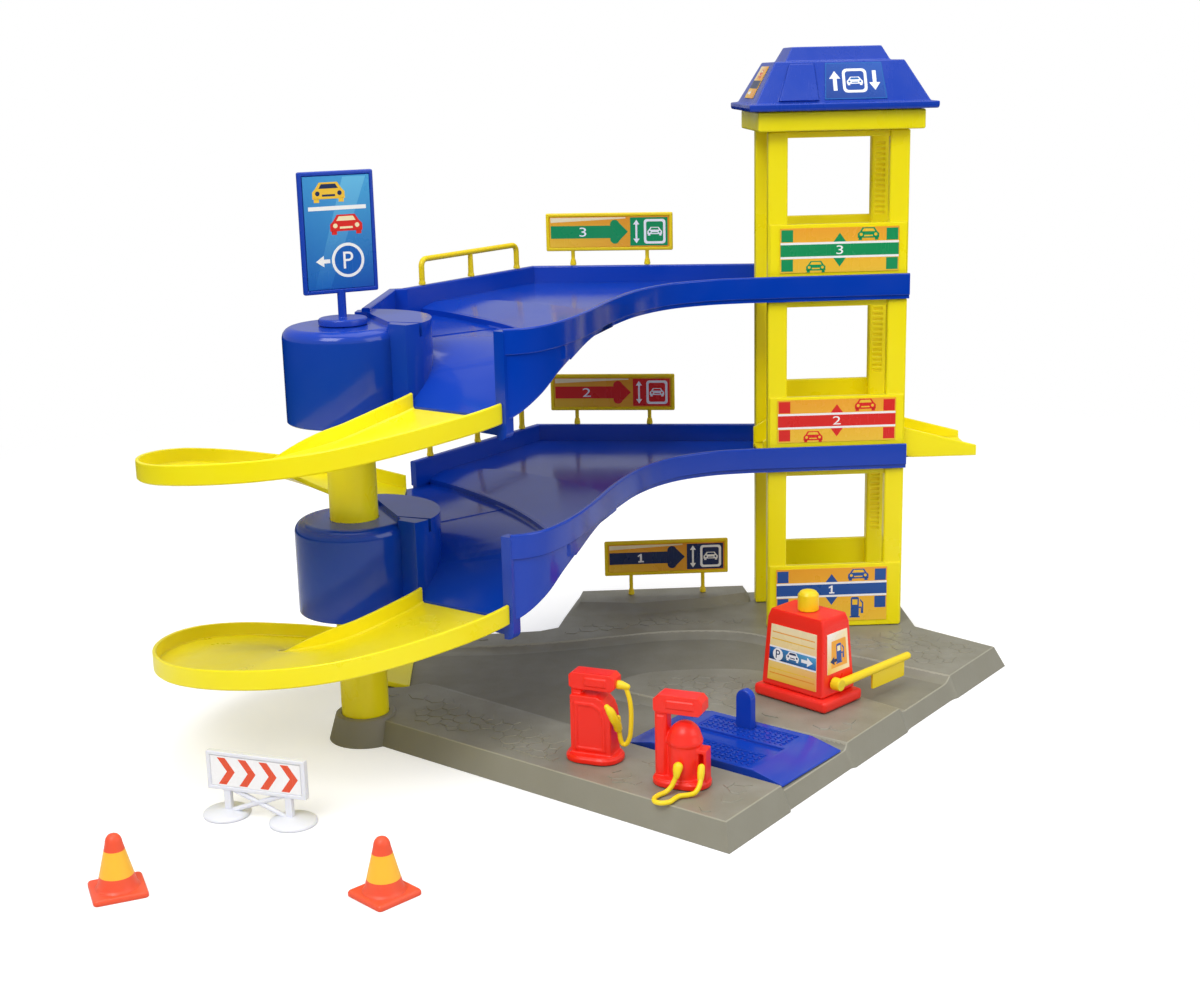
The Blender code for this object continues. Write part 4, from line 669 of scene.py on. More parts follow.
class Print:
    """Flat printed artwork: shapes in layers on a printed face, in the face's own millimetres."""

    def __init__(self, corner, right, up):
        self.corner = Vector(corner)
        self.right = Vector(right).normalized()
        self.up = Vector(up).normalized()
        self.out = self.right.cross(self.up)
        self.points, self.faces, self.inks = [], [], []

    def spot(self, u, v, lift):
        """A place on the face, lifted off it."""
        return tuple(self.corner + self.right * u + self.up * v + self.out * lift)

    def laid(self, outline, level):
        """Takes in an outline twice, on the face and at its layer, and gives the first point's number."""
        start = len(self.points)
        self.points += [self.spot(u, v, lift) for lift in (0.0, INK_STEP * level) for u, v in outline]
        return start

    def area(self, outline, ink, level=1):
        """A filled outline with a hair's thickness; ink is a name, or one name for each point."""
        area = sum(a[0] * b[1] - b[0] * a[1] for a, b in zip(outline, outline[1:] + outline[:1]))
        names = ink if isinstance(ink, list) else [ink] * len(outline)
        if area < 0:
            outline, names = outline[::-1], names[::-1]
        colours = [INK[n] if isinstance(n, str) else n for n in names]
        count = len(outline)
        start = self.laid(outline, level)
        self.faces.append([start + count + k for k in range(count)])
        self.inks.append(colours)
        self.faces.append([start + k for k in range(count)][::-1])
        self.inks.append(colours[::-1])
        for k in range(count):
            m = (k + 1) % count
            self.faces.append([start + k, start + m, start + count + m, start + count + k])
            self.inks.append([colours[k], colours[m], colours[m], colours[k]])
        return self

    def bar(self, u0, v0, u1, v1, ink, level=1):
        """A filled rectangle."""
        return self.area([(u0, v0), (u1, v0), (u1, v1), (u0, v1)], ink, level)

    def soft_bar(self, u0, v0, u1, v1, radius, ink, level=1):
        """A filled rectangle with round corners."""
        return self.area(rounded(u0, u1, v0, v1, radius, 4), ink, level)

    def disc(self, u, v, radius, ink, level=1, steps=40):
        """A filled circle."""
        angles = [2 * math.pi * k / steps for k in range(steps)]
        return self.area([(u + radius * math.cos(a), v + radius * math.sin(a)) for a in angles], ink, level)

    def arrow(self, u, v, length, width, degrees, ink, level=2, shaft=0.36):
        """A flat arrow with its tail at a point, pointing a way."""
        neck, half, line = length - width * 0.75, width / 2, width * shaft / 2
        points = [(0, -line), (neck, -line), (neck, -half), (length, 0), (neck, half), (neck, line), (0, line)]
        return self.area([turned(x, y, math.radians(degrees), u, v) for x, y in points], ink, level)

    def drawn(self, shares, u, v, size, ink, level):
        """An outline given in shares of a drawing's size, standing on a place."""
        return self.area([(u + size * a, v + size * b) for a, b in shares], ink, level)

    def car(self, u, v, width, ink, back, level=2):
        """A small car seen from the front, standing on v."""
        w = width
        self.drawn([(-.5, .1), (.5, .1), (.5, .3), (.4, .4), (.28, .58), (-.28, .58), (-.4, .4), (-.5, .3)],
                   u, v, w, ink, level)
        self.drawn([(-.3, .4), (.3, .4), (.22, .53), (-.22, .53)], u, v, w, back, level + 1)
        for side in (-1, 1):
            self.bar(u + side * w * .38 - w * .08, v, u + side * w * .38 + w * .08, v + w * .12, ink, level)
            self.disc(u + side * w * .34, v + w * .26, w * .07, back, level + 1, 12)
        self.bar(u - w * .2, v + w * .17, u + w * .2, v + w * .23, back, level + 1)

    def fuel(self, u, v, height, ink, back, level=2):
        """A fuel pump sign standing on v."""
        h = height
        self.bar(u - h * .28, v, u + h * .2, v + h * .07, ink, level)
        self.soft_bar(u - h * .23, v + h * .05, u + h * .15, v + h, h * .08, ink, level)
        self.bar(u - h * .16, v + h * .62, u + h * .08, v + h * .88, back, level + 1)
        self.drawn([(.15, .45), (.24, .45), (.24, .2), (.36, .2), (.36, .72), (.22, .88), (.18, .84), (.3, .68),
                    (.3, .26), (.3, .26), (.29, .52), (.15, .52)], u, v, h, ink, level)

    def letter(self, text, u, v, height, ink, level, stretch):
        """Plain lettering, centred on a point; the figure 1 gets a foot and a flag of its own."""
        if text == "1":
            return self.drawn([(-.6, -1), (.7, -1), (.7, -.68), (.25, -.68), (.25, 1), (-.05, 1), (-.7, .62),
                               (-.7, .28), (-.2, .5), (-.2, -.68), (-.6, -.68)], u, v, height / 2, ink, level)
        curve = bpy.data.curves.new("lettering", "FONT")
        curve.body = text
        curve.resolution_u = 6
        mesh = plain_mesh(linked("lettering", curve))
        bm = bmesh.new()
        bm.from_mesh(mesh)
        bmesh.ops.remove_doubles(bm, verts=bm.verts, dist=1e-5)
        bm.verts.index_update()
        xs, ys = [p.co.x for p in bm.verts], [p.co.y for p in bm.verts]
        size = height / (max(ys) - min(ys))
        cx, cy = (max(xs) + min(xs)) / 2, (max(ys) + min(ys)) / 2
        count = len(xs)
        start = self.laid([(u + (x - cx) * size * stretch, v + (y - cy) * size) for x, y in zip(xs, ys)], level)
        rings = []
        for face in bm.faces:
            ring = [start + count + p.index for p in face.verts]
            if face.normal.z < 0:
                ring = ring[::-1]
            rings += [ring, [k - count for k in ring][::-1]]
        for edge in bm.edges:
            if len(edge.link_faces) == 1:
                a, b = edge.verts
                order = list(edge.link_faces[0].verts)
                onward = order[(order.index(a) + 1) % len(order)] == b
                if onward == (edge.link_faces[0].normal.z < 0):
                    a, b = b, a
                a, b = start + a.index, start + b.index
                rings.append([a, b, b + count, a + count])
        self.faces += rings
        self.inks += [[INK[ink]] * len(ring) for ring in rings]
        bm.free()
        bpy.data.meshes.remove(mesh)

    def finish(self, node, body, card):
        """The label's card with the artwork on it, as one piece."""
        mesh = bpy.data.meshes.new(node + "_print")
        mesh.from_pydata(in_frame(self.points), [], self.faces)
        layer = mesh.color_attributes.new("ink", "FLOAT_COLOR", "CORNER")
        for polygon, colours in zip(mesh.polygons, self.inks):
            for loop, colour in zip(polygon.loop_indices, colours):
                layer.data[loop].color = (*colour, 1.0)
        sheet = frame["nodes"][node].data.copy()
        sheet.materials.clear()
        under = sheet.color_attributes.new("ink", "FLOAT_COLOR", "CORNER")
        for item in under.data:
            item.color = (*INK[card], 1.0)
        bm = bmesh.new()
        bm.from_mesh(mesh)
        bm.from_mesh(sheet)
        for edge in bm.edges:
            edge.smooth = False
        bm.to_mesh(mesh)
        bm.free()
        mesh.materials.append(finish("printed_film"))
        attach(mesh, node + "_print", body, (node,))


# Decks
SHAFT = [(72.5, 50.0), (-2.1, 50.0), (-2.1, 9.1), (72.5, 9.1)]
FRONT_LINE = FRONT[:1] + flowing(FRONT[1:], 5)
STEP_LINE = flowing(STEP, 6)
APPROACH_LINE = flowing(APPROACH, 6)
CHUTE_FROM = 40.0
CHUTE_TURN = -14.0  # The bearing at which the chute leaves the step for the front wall
CHUTE_IN = 30.0
CHUTE_COVE = 3.2


def deck_floor(shape, top):
    """The roadway and its slope down to the step."""
    floor = top - FLOOR_DROP
    edge = [p for p in offset(FRONT_LINE, -1.1) if p[1] > APPROACH_LINE[-1][1] - 1.0]
    shape.plate(edge + APPROACH_LINE[::-1] + offset(BACK, 0.4)[2::-1] + SHAFT, floor - SLAB, floor)
    lower = offset(STEP_LINE, -0.6)
    rows = []
    for (ax, ay), (bx, by) in zip(APPROACH_LINE, lower):
        row = []
        for k in range(5):
            t = k / 4
            drop = (APPROACH_DROP - FLOOR_DROP) * (t * 0.8 + 0.2 * t * t)
            row.append((ax + (bx - ax) * t, ay + (by - ay) * t, floor - drop))
        rows.append(row + [(bx, by, top - APPROACH_DROP - 3.0), (ax, ay, floor - SLAB)])
    shape.loft(rows)
    shape.plate([APPROACH_LINE[-1], lower[-1], (-108.2, -131.5), (-97.8, -106.0), (-88.2, -78.5)], floor - SLAB,
                floor - 1.2)


def deck_walls(shape, top):
    """The step, the front and back walls, and the back wall's foot at the landing."""
    foot = top - LANDING_DROP - LANDING_SLAB
    shape.wall(STEP_LINE, 0.0, WALL, foot, top - APPROACH_DROP + 0.2, 0.6)
    shape.wall(FRONT_LINE, -WALL, 0.0, top - BAND, top, 0.8, 0.4)
    shape.wall(BACK, 0.0, BACK_WALL, top - FLOOR_DROP - SLAB, top, 0.8, 0.3)
    (ax, ay), (bx, by) = BACK[3], BACK[2]
    length = math.hypot(bx - ax, by - ay)
    ends = [(ax + (bx - ax) / length * d, ay + (by - ay) / length * d) for d in (56.0, 0.5)]
    shape.wall(ends, 0.6, BACK_WALL - 0.6, foot + 0.2, top - 1.0)


def deck_landing(shape, top):
    """The low landing between the hub, the step and the back wall."""
    landing = top - LANDING_DROP
    ring = [polar(33.0, a) for a in range(34, 95, 4)]
    near = offset(STEP_LINE, 1.2)
    (bx, by), (ax, ay) = offset(BACK[2:], 1.5)
    span = math.hypot(bx - ax, by - ay)
    left = [(-192.0, -66.0), (-192.0, -9.0), (-185.5, -5.0),
            (ax + (bx - ax) * 13 / span, ay + (by - ay) * 13 / span)]
    step = [p for p in near[2:] if bearing(p) > 35.5]
    shape.plate(ring + left + step + [polar(reach(near, 34.0), 34.0)], landing - LANDING_SLAB, landing)


def deck_chute(shape, top):
    """The chute that winds down around the hub, first beside the step and then inside the front wall."""
    outer, step = offset(FRONT_LINE, -0.9), offset(STEP_LINE, 1.6)
    rows = []
    for i in range(79):
        angle = CHUTE_FROM - i
        drop_in, drop_out = read(CHUTE, angle, 1), read(CHUTE, angle, 2)
        low = top - drop_out
        if angle <= CHUTE_TURN:
            ro, rim = reach(outer, angle) or reach(outer, angle + 0.5), top - 2.0
        else:
            ro, rim = reach(step, angle), top - APPROACH_DROP - 0.3
        across = []
        for k in range(9):
            t = k / 8
            across.append((CHUTE_IN + (ro - CHUTE_COVE - CHUTE_IN) * t, top - drop_in + (drop_in - drop_out) * t))
        points = [(r, z - LANDING_SLAB) for r, z in across]
        points += [(ro - 1.6, low - LANDING_SLAB), (ro - 0.3, low - LANDING_SLAB + 0.6), (ro, low - 1.4), (ro, rim),
                   (ro - 2.2, rim), (ro - 2.2, low + 1.0)]
        points += [(ro - CHUTE_COVE + math.sin(a), low + 1.0 - math.cos(a))
                   for a in (math.radians(22.5 * k) for k in (3, 2, 1))]
        rows.append([(*polar(r, angle), z) for r, z in points + across[::-1]])
    shape.loft(rows)
    shape.plate([(-108.0, -112.0), (-102.5, -118.5), (-108.2, -131.0), (-112.6, -138.6), (-111.0, -134.0),
                 (-113.2, -121.5)], top - LANDING_DROP - LANDING_SLAB + 0.4, top - FLOOR_DROP - SLAB + 0.6)


def deck_skirt(shape, top):
    """The front wall's skirt, which deepens towards the chute."""
    outer, inner = offset(FRONT_LINE, -0.9), offset(FRONT_LINE, -2.3)
    skirt = []
    for i in range(29):
        angle = CHUTE_TURN + i
        foot = top - 12.6 - 6.1 * ((14.0 - angle) / 28.0) ** 2.4
        far, near = reach(outer, angle), reach(inner, angle)
        skirt.append([(*polar(r, angle), z) for r, z in (
            (near, foot + 0.2), (far - 0.3, foot), (far, foot + 0.3), (far, top - BAND + 0.4),
            (near, top - BAND + 0.4))])
    shape.loft(skirt)


def deck_flange(shape, top):
    """The upright flange at the chute's end, and the cross wall below it."""
    foot = top - FLANGE_DROP
    upright = [(86.5, foot), (88.6, foot), (90.1, foot + 0.4), (91.3, foot + 1.6), (91.8, foot + 3.2),
               (91.8, top - 1.6), (91.2, top - 1.0), (86.5, top - 1.0)]
    cross = [(34.5, top - 45.5), (48.0, top - 43.8), (60.0, top - 43.0), (74.0, top - 45.5), (89.0, foot + 1.5),
             (89.0, top - 38.5), (34.5, top - 38.5)]
    for profile, bearings in ((upright, (-38.4, -35.2)), (cross, (-37.6, -35.0))):
        shape.loft([[(*polar(r, a), z) for r, z in profile] for a in bearings])


def deck_hub(shape, top, number):
    """The hollow hub around the column, with the wing that runs around it."""
    crest, foot, bore = top - HUB_DROP, top - HUB_BOTTOM, COLUMN_R + 0.3
    fillet = [(HUB_R - HUB_FILLET + HUB_FILLET * math.sin(math.radians(a)),
               top - HUB_DROP - HUB_FILLET + HUB_FILLET * math.cos(math.radians(a))) for a in range(0, 91, 10)]
    crown = [(0.0, crest)] if number == 3 else [(0.0, top - 14.0), (bore, top - 14.0), (bore, crest)]
    shape.turn(crown + fillet + [
        (HUB_R, top - 46.6), (HUB_R - 0.4, foot), (24.7, foot), (24.7, top - 12.0), (22.5, top - 9.5),
        (15.0, top - 9.5), (15.0, foot), (bore, foot), (bore, top - 37.0), (0.0, top - 37.0)], *AXIS, 96)
    edge = flowing([(36.5, -37.2), (38.2, -28.0), (39.2, -16.0), (39.5, 0.0), (39.5, 20.0), (39.0, 40.0),
                    (38.0, 58.0), (37.0, 74.0), (34.0, 84.0)], 4)
    low = [p for p in edge if p[1] < -27.0]
    notch = [p for p in edge if -27.0 <= p[1] <= -21.0]
    high = [p for p in edge if p[1] > -21.0]
    for part, z1 in ((low + notch[:1], top - 2.0), (notch, top - 8.0), (notch[-1:] + high, top - 2.0)):
        inner = [polar(min(HUB_R - 1.0, 16.5 / math.cos(math.radians(a - 19.7))), a) for _, a in part[::-1]]
        shape.plate([polar(*p) for p in part] + inner, foot + 0.6, z1)


def deck_shape(top, number):
    """A whole deck; the upper one has a short wall at the landing's left."""
    shape = Shape()
    for part in (deck_floor, deck_walls, deck_landing, deck_chute, deck_skirt, deck_flange):
        part(shape, top)
    deck_hub(shape, top, number)
    if number == 3:
        shape.wall([(-183.5, -1.2), (-192.5, -2.2), (-200.0, -74.0)], 0.0, 4.0,
                   top - LANDING_DROP - LANDING_SLAB - 0.4, top - 0.2, 0.7)
    return shape


RAMP_IN, RAMP_OUT, RAMP_BOW = 38.0, 90.0, 5.0
RAMP_END, RUN_OUT, RUN_FOOT = -270.0, 18.0, 9.5
KERB_IN, KERB_OUT = 7.0, 6.4


def arch(middle, half, foot):
    """The rounded top of a kerb."""
    return [(middle + half * math.cos(math.radians(a)), foot + 0.6 * math.sin(math.radians(a)))
            for a in (150, 120, 90, 60, 30)]


def ramp_shape(lift):
    """A ramp that winds down around the column and runs out straight, with a kerb on each side."""
    first, last = RAMP[0][0], RAMP[-1][1]
    stations, angle = [], first
    while angle > RAMP_END:
        stations.append((angle, 0.0))
        angle -= 2.5
    stations.append((RAMP_END, 0.0))
    stations += [(RAMP_END, RUN_OUT * k / 8) for k in range(1, 9)]
    rows = []
    for angle, along in stations:
        share = along / RUN_OUT
        z = (last + (RUN_FOOT - last) * share if along else read(RAMP, angle)) + lift
        kerb = KERB_IN if angle > -95.0 else max(0.5, KERB_IN - 6.5 * ease((-95.0 - angle) / 60.0))
        thick = 2.0 if share < 0.9 else 1.2
        outer = RAMP_OUT + RAMP_BOW * math.sin(math.pi * (angle - first) / (RAMP_END - first)) ** 2
        foot, rim = z + kerb - 0.6, z + KERB_OUT
        profile = [(RAMP_IN + 0.3, z - thick), (RAMP_IN, z - thick + 0.3), (RAMP_IN, foot)]
        profile += arch(RAMP_IN + 0.9, 0.9, foot)
        profile += [(RAMP_IN + 1.8, foot), (RAMP_IN + 1.8, z + 0.8 if kerb > 1.6 else z + 0.1), (RAMP_IN + 2.6, z),
                    (outer - 3.0, z), (outer - 2.2, z + 0.25), (outer - 1.8, z + 1.0), (outer - 1.8, rim)]
        profile += arch(outer - 0.9, 0.9, rim)
        profile += [(outer, rim), (outer, z - thick + 0.6), (outer - 0.6, z - thick)]
        ca, sa = math.cos(math.radians(angle)), math.sin(math.radians(angle))
        rows.append([(AXIS[0] + r * ca + along, AXIS[1] + r * sa, h) for r, h in profile])
    return Shape().loft(rows)


class GARAGE_OT_decks(bpy.types.Operator):
    """Builds the two blue decks with their walls, landings, chutes and hubs"""
    bl_idname = "garage.decks"
    bl_label = "Decks"

    def execute(self, context):
        for number, top in DECKS.items():
            piece_from(deck_shape(top, number), f"deck_{number}", "deck_blue", edge=0.0005)
        return {"FINISHED"}


class GARAGE_OT_ramps(bpy.types.Operator):
    """Builds the yellow curved ramps and the columns that carry them"""
    bl_idname = "garage.ramps"
    bl_label = "Ramps and columns"

    def execute(self, context):
        for node, lift in (("ramp_lower", 0.0), ("ramp_upper", LEVEL_STEP)):
            piece_from(ramp_shape(lift), node, "tower_yellow")
        r = COLUMN_R
        for node, z0, z1 in (("column_lower", 3.3, 73.7), ("column_upper", 97.3, 162.7)):
            shape = Shape().turn([(0.0, z1), (r - 0.6, z1), (r, z1 - 0.6), (r, z0 + 0.6), (r - 0.6, z0),
                                  (r - 2.2, z0), (r - 2.2, z1 - 2.5), (0.0, z1 - 2.5)], *AXIS, 72)
            piece_from(shape, node, "tower_yellow")
        return {"FINISHED"}


# Forecourt
LIP_OUT, LIP_IN, LIP_DROP = 0.55, 0.15, 0.25  # The rounded lip begins and ends this far outside the road's line
COVE, OPEN_COVE = 2.75, 4.0  # Width of the slope down to the road, and what it gains away from the platform
COVE_NEAR, COVE_FAR = 52.0, 20.0


def road_line():
    """The road's outline."""
    return ROAD_NEAR + ROAD_LEFT + flowing(ROAD_FAR) + ROAD_EXIT + flowing(ROAD_ISLAND) + ROAD_END


def ground(road, x, y):
    """Height of the forecourt at a place: the road lies lower behind a cove, the bank higher."""
    inward = depth(road, x, y)
    if inward <= -LIP_OUT:
        z = BASE_TOP
    elif inward <= -LIP_IN:
        z = BASE_TOP - LIP_DROP * ((inward + LIP_OUT) / (LIP_OUT - LIP_IN)) ** 2
    else:
        away = math.hypot(x - PLATFORM[0], y - PLATFORM[1])
        cove = COVE + OPEN_COVE * ease((away - COVE_NEAR) / COVE_FAR)
        z = ROAD_TOP + (BASE_TOP - ROAD_TOP - LIP_DROP) * (1 - min(1.0, (inward + LIP_IN) / cove)) ** 2.2
    low = depth(BANK_FOOT, x, y) if y > 30.0 else 0.0
    if low > 0:
        high = depth(BANK_HEAD, x, y)
        share = 1.0 if high >= 0 else low / (low - high)
        z += (BANK_TOP - BASE_TOP) * share ** 1.9
    return z


def filled(outline, points, lines):
    """A mesh of triangles inside an outline, through given points and lines."""
    spots = [Vector(p) for p in outline]
    edges = [(i, (i + 1) % len(outline)) for i in range(len(outline))]
    for line in lines:
        start = len(spots)
        spots += [Vector(p) for p in line]
        edges += [(start + i, start + i + 1) for i in range(len(line) - 1)]
    spots += [Vector(p) for p in points]
    result = delaunay_2d_cdt(spots, edges, [], 1, SAME_SPOT)
    return [tuple(p) for p in result[0]], [list(face) for face in result[2]]


def scattered(outline, pitch, margin, seed, jitter):
    """Points in a loose triangular pattern inside an outline."""
    dice = random.Random(seed)
    xs, ys = [p[0] for p in outline], [p[1] for p in outline]
    points = []
    row = 0
    y = min(ys)
    while y < max(ys):
        x = min(xs) + (pitch / 2 if row % 2 else 0.0)
        while x < max(xs):
            px = x + dice.uniform(-jitter, jitter) * pitch
            py = y + dice.uniform(-jitter, jitter) * pitch
            if depth(outline, px, py) > margin:
                points.append((px, py))
            x += pitch
        y += pitch * 0.866
        row += 1
    return points


def meeting(outline, a, b):
    """Where the line from a through b meets an outline soon after a, if it does."""
    best = None
    for p, q in zip(outline, outline[1:] + outline[:1]):
        ex, ey = q[0] - p[0], q[1] - p[1]
        det = (b[0] - a[0]) * ey - (b[1] - a[1]) * ex
        if abs(det) < PARALLEL:
            continue
        t = ((p[0] - a[0]) * ey - (p[1] - a[1]) * ex) / det
        u = ((p[0] - a[0]) * (b[1] - a[1]) - (p[1] - a[1]) * (b[0] - a[0])) / det
        if t > 0 and -0.001 <= u <= 1.001 and (best is None or t < best):
            best = t
    return [] if best is None or best > 6 else [(a[0] + (b[0] - a[0]) * best, a[1] + (b[1] - a[1]) * best)]


def clipped(line, outline):
    """The parts of a closed line inside an outline, each carried on to the outline; with the places met there."""
    parts, met, run = [], [], []
    count = len(line)
    for i in range(count + 1):
        p = line[i % count]
        if depth(outline, *p) > 0.25:
            if not run and i:
                run = meeting(outline, p, line[i - 1])
                met += run
            run = run + [p]
        elif run:
            end = meeting(outline, run[-1], p)
            met += end
            parts.append(run + end)
            run = []
    return parts + ([run] if run else []), met


LINES_INWARD = (-LIP_OUT, -0.42, -0.28, -LIP_IN, 0.1, 0.4, 0.85, 1.35, 1.95, 2.6, 3.6, 4.9, 6.6)
CHAMFER = 0.45
SIDE_SLOPE = 0.42  # How far the side comes in for each millimetre that the top lies lower


def forecourt_lines(road, edge):
    """Lines along the road's and the bank's edges, and the places where they meet the base's edge."""
    lines, met = [], []
    for inward in LINES_INWARD:
        parts, places = clipped(walked(offset(road, -inward, closed=True), 2.4), edge)
        met += places
        for part in parts:
            run = []
            for p in part:
                if abs(depth(road, *p) - inward) < 0.3 * abs(inward) + 0.06:
                    run.append(p)
                else:
                    lines.append(run)
                    run = []
            lines.append(run)
    parts, places = clipped(walked(BANK_HEAD, 2.4), edge)
    return [line for line in lines + parts if len(line) > 1], met + places


def divided(edge, met):
    """The base's edge in short parts, with a point wherever a line meets it."""
    outline = []
    for (ax, ay), (bx, by) in zip(edge, edge[1:] + edge[:1]):
        length = math.hypot(bx - ax, by - ay)
        stops = {0.0, 1.0}
        for x, y in met:
            t = ((x - ax) * (bx - ax) + (y - ay) * (by - ay)) / length ** 2
            if 0 < t < 1 and abs((x - ax) * (by - ay) - (y - ay) * (bx - ax)) / length < 0.01:
                stops.add(t)
        stops = sorted(stops)
        for t0, t1 in zip(stops, stops[1:]):
            parts = max(1, math.ceil((t1 - t0) * length / 2.6))
            shares = [t0 + (t1 - t0) * k / parts for k in range(parts)]
            outline += [(ax + (bx - ax) * t, ay + (by - ay) * t) for t in shares]
    return outline


def forecourt_sides(shape, outline, heights):
    """The base's chamfer, painted paler as a highlight, its sloped sides and its hollow underside."""
    rows = list(zip(outline, offset(outline, -1.0, closed=True), heights))
    rings = [[(x, y, z) for (x, y), _, z in rows]]
    lean = BASE_SLOPE / BASE_TOP - SIDE_SLOPE
    for out, gain, follow, lift in ((CHAMFER - 0.15, lean, 1, -0.05), (CHAMFER + 0.12, lean, 1, -0.32),
                                    (5.2, -SIDE_SLOPE, 0, 0.25), (5.0, -SIDE_SLOPE, 0, 0.0)):
        ring = []
        for (x, y), (ox, oy), z in rows:
            share = out + max(0.0, BASE_TOP - z) * gain
            ring.append((x + (ox - x) * share, y + (oy - y) * share, z * follow + lift))
        rings.append(ring)
    for distance, z in ((-2.85, 0.0), (2.15, ROAD_TOP - 2.6)):
        rings.append([(x, y, z) for x, y in offset(outline, distance, closed=True)])
    # The chamfer takes ink 2, a painted highlight
    shape.loft(rings[:3], caps=False, ink=2)
    shape.loft(rings[2:], caps=False)
    shape.add(rings[-1], [list(range(len(outline)))[::-1]])


def forecourt_shape(road):
    """The base with its ground, its sides and the column's socket; ink 1 is the road and 2 its edge, painted paler as
    a highlight.
    """
    edge = offset(BASE, CHAMFER, closed=True)
    lines, met = forecourt_lines(road, edge)
    outline = divided(edge, met)
    points = [p for p in scattered(edge, 3.2, 1.2, 11, 0.08) if not -1.6 < depth(road, *p) < 7.6
              and (p[1] < 30.0 or abs(depth(BANK_HEAD, *p)) > 1.0)]
    spots, faces = filled(outline, points, lines)
    tops = [(x, y, ground(road, x, y)) for x, y in spots]
    shape = Shape().add(tops, faces)
    for i, face in enumerate(faces):
        middle = [sum(tops[k][n] for k in face) / len(face) for n in (0, 1)]
        if max(tops[k][2] for k in face) < ROAD_TOP + 0.12:
            shape.inks[i] = 1
        # Faces along the road's lip take ink 2, a painted highlight
        elif -0.5 < depth(road, *middle) < 0.3:
            shape.inks[i] = 2
    forecourt_sides(shape, outline, [ground(road, x, y) for x, y in outline])
    bore = COLUMN_R + 0.3
    return shape.turn([(0.0, 3.0), (bore, 3.0), (bore, 12.5), (13.4, 12.5), (14.0, 12.0), (17.3, 0.6), (17.5, 0.0),
                       (0.0, 0.0)], *AXIS, 64)


def ended(tree, geometry, plastic, outs):
    """Ends a tree: makes its instances real, gives them their finish and hands them out."""
    real = wired(tree, "GeometryNodeRealizeInstances", {"Geometry": geometry})
    coat = wired(tree, "GeometryNodeSetMaterial", {"Geometry": real.outputs["Geometry"], "Material": plastic})
    fed(tree, outs, {"Geometry": coat.outputs["Geometry"]})
    return tree


def paving_tree():
    """Crazy paving: the cells around loose points, shrunk to stones and raised."""
    tree, ins, outs = new_group(
        "crazy paving", "GeometryNodeTree",
        {"Geometry": "Geometry", "Share": 0.93, "Height": 0.00025, "Finish": "Material"}, {"Geometry": "Geometry"})
    dual = wired(tree, "GeometryNodeDualMesh", {"Mesh": ins["Geometry"], "Keep Boundaries": False})
    split = wired(tree, "GeometryNodeSplitEdges", {"Mesh": dual.outputs[0]})
    shrink = wired(tree, "GeometryNodeScaleElements", {"Geometry": split.outputs["Mesh"], "Scale": ins["Share"]})
    up = wired(tree, "ShaderNodeCombineXYZ", {"Z": 1.0})
    stones = wired(tree, "GeometryNodeExtrudeMesh", {
        "Mesh": shrink.outputs["Geometry"], "Offset": up.outputs["Vector"], "Offset Scale": ins["Height"]})
    top = wired(tree, "GeometryNodeScaleElements", {
        "Geometry": stones.outputs["Mesh"], "Selection": stones.outputs["Top"], "Scale": 0.93})
    return ended(tree, top.outputs["Geometry"], ins["Finish"], outs)


def tread_tree():
    """Rows of slanted diamonds over a rectangle."""
    tree, ins, outs = new_group("tread plate", "GeometryNodeTree", {
        "Geometry": "Geometry", "Length": 0.043, "Width": 0.012, "Pitch": 0.0027, "Size": 0.0011,
        "Finish": "Material"}, {"Geometry": "Geometry"})

    def rows(length, pitch):
        return maths(tree, "ROUND", maths(tree, "DIVIDE", length, pitch))

    field = wired(tree, "GeometryNodeMeshGrid", {
        "Size X": ins["Length"], "Size Y": ins["Width"], "Vertices X": rows(ins["Length"], ins["Pitch"]),
        "Vertices Y": rows(ins["Width"], maths(tree, "MULTIPLY", ins["Pitch"], 0.75))})
    stud = wired(tree, "GeometryNodeMeshCone", {"Vertices": 4, "Radius Top": 0.35, "Radius Bottom": 1.0,
                                                "Depth": 0.32})
    odd = maths(tree, "MODULO", tree.nodes.new("GeometryNodeInputIndex").outputs["Index"], 2.0)
    slant = maths(tree, "MULTIPLY", maths(tree, "SUBTRACT", odd, 0.5), 0.9)
    lean = wired(tree, "ShaderNodeCombineXYZ", {"X": 0.5, "Z": slant})
    size = wired(tree, "ShaderNodeCombineXYZ", {"X": ins["Size"], "Y": maths(tree, "MULTIPLY", ins["Size"], 0.42),
                                                "Z": maths(tree, "MULTIPLY", ins["Size"], 1.4)})
    spread = wired(tree, "GeometryNodeInstanceOnPoints", {
        "Points": field.outputs["Mesh"], "Instance": stud.outputs["Mesh"], "Rotation": lean.outputs["Vector"],
        "Scale": size.outputs["Vector"]})
    return ended(tree, spread.outputs["Instances"], ins["Finish"], outs)


def grown(tree, mesh, values):
    """The mesh that a tree makes of another one."""
    ob = linked(mesh.name, mesh)
    modifier = ob.modifiers.new(tree.name, "NODES")
    modifier.node_group = tree
    for item in tree.interface.items_tree:
        if item.in_out == "INPUT" and item.name in values:
            modifier[item.identifier] = values[item.name]
    return plain_mesh(ob)


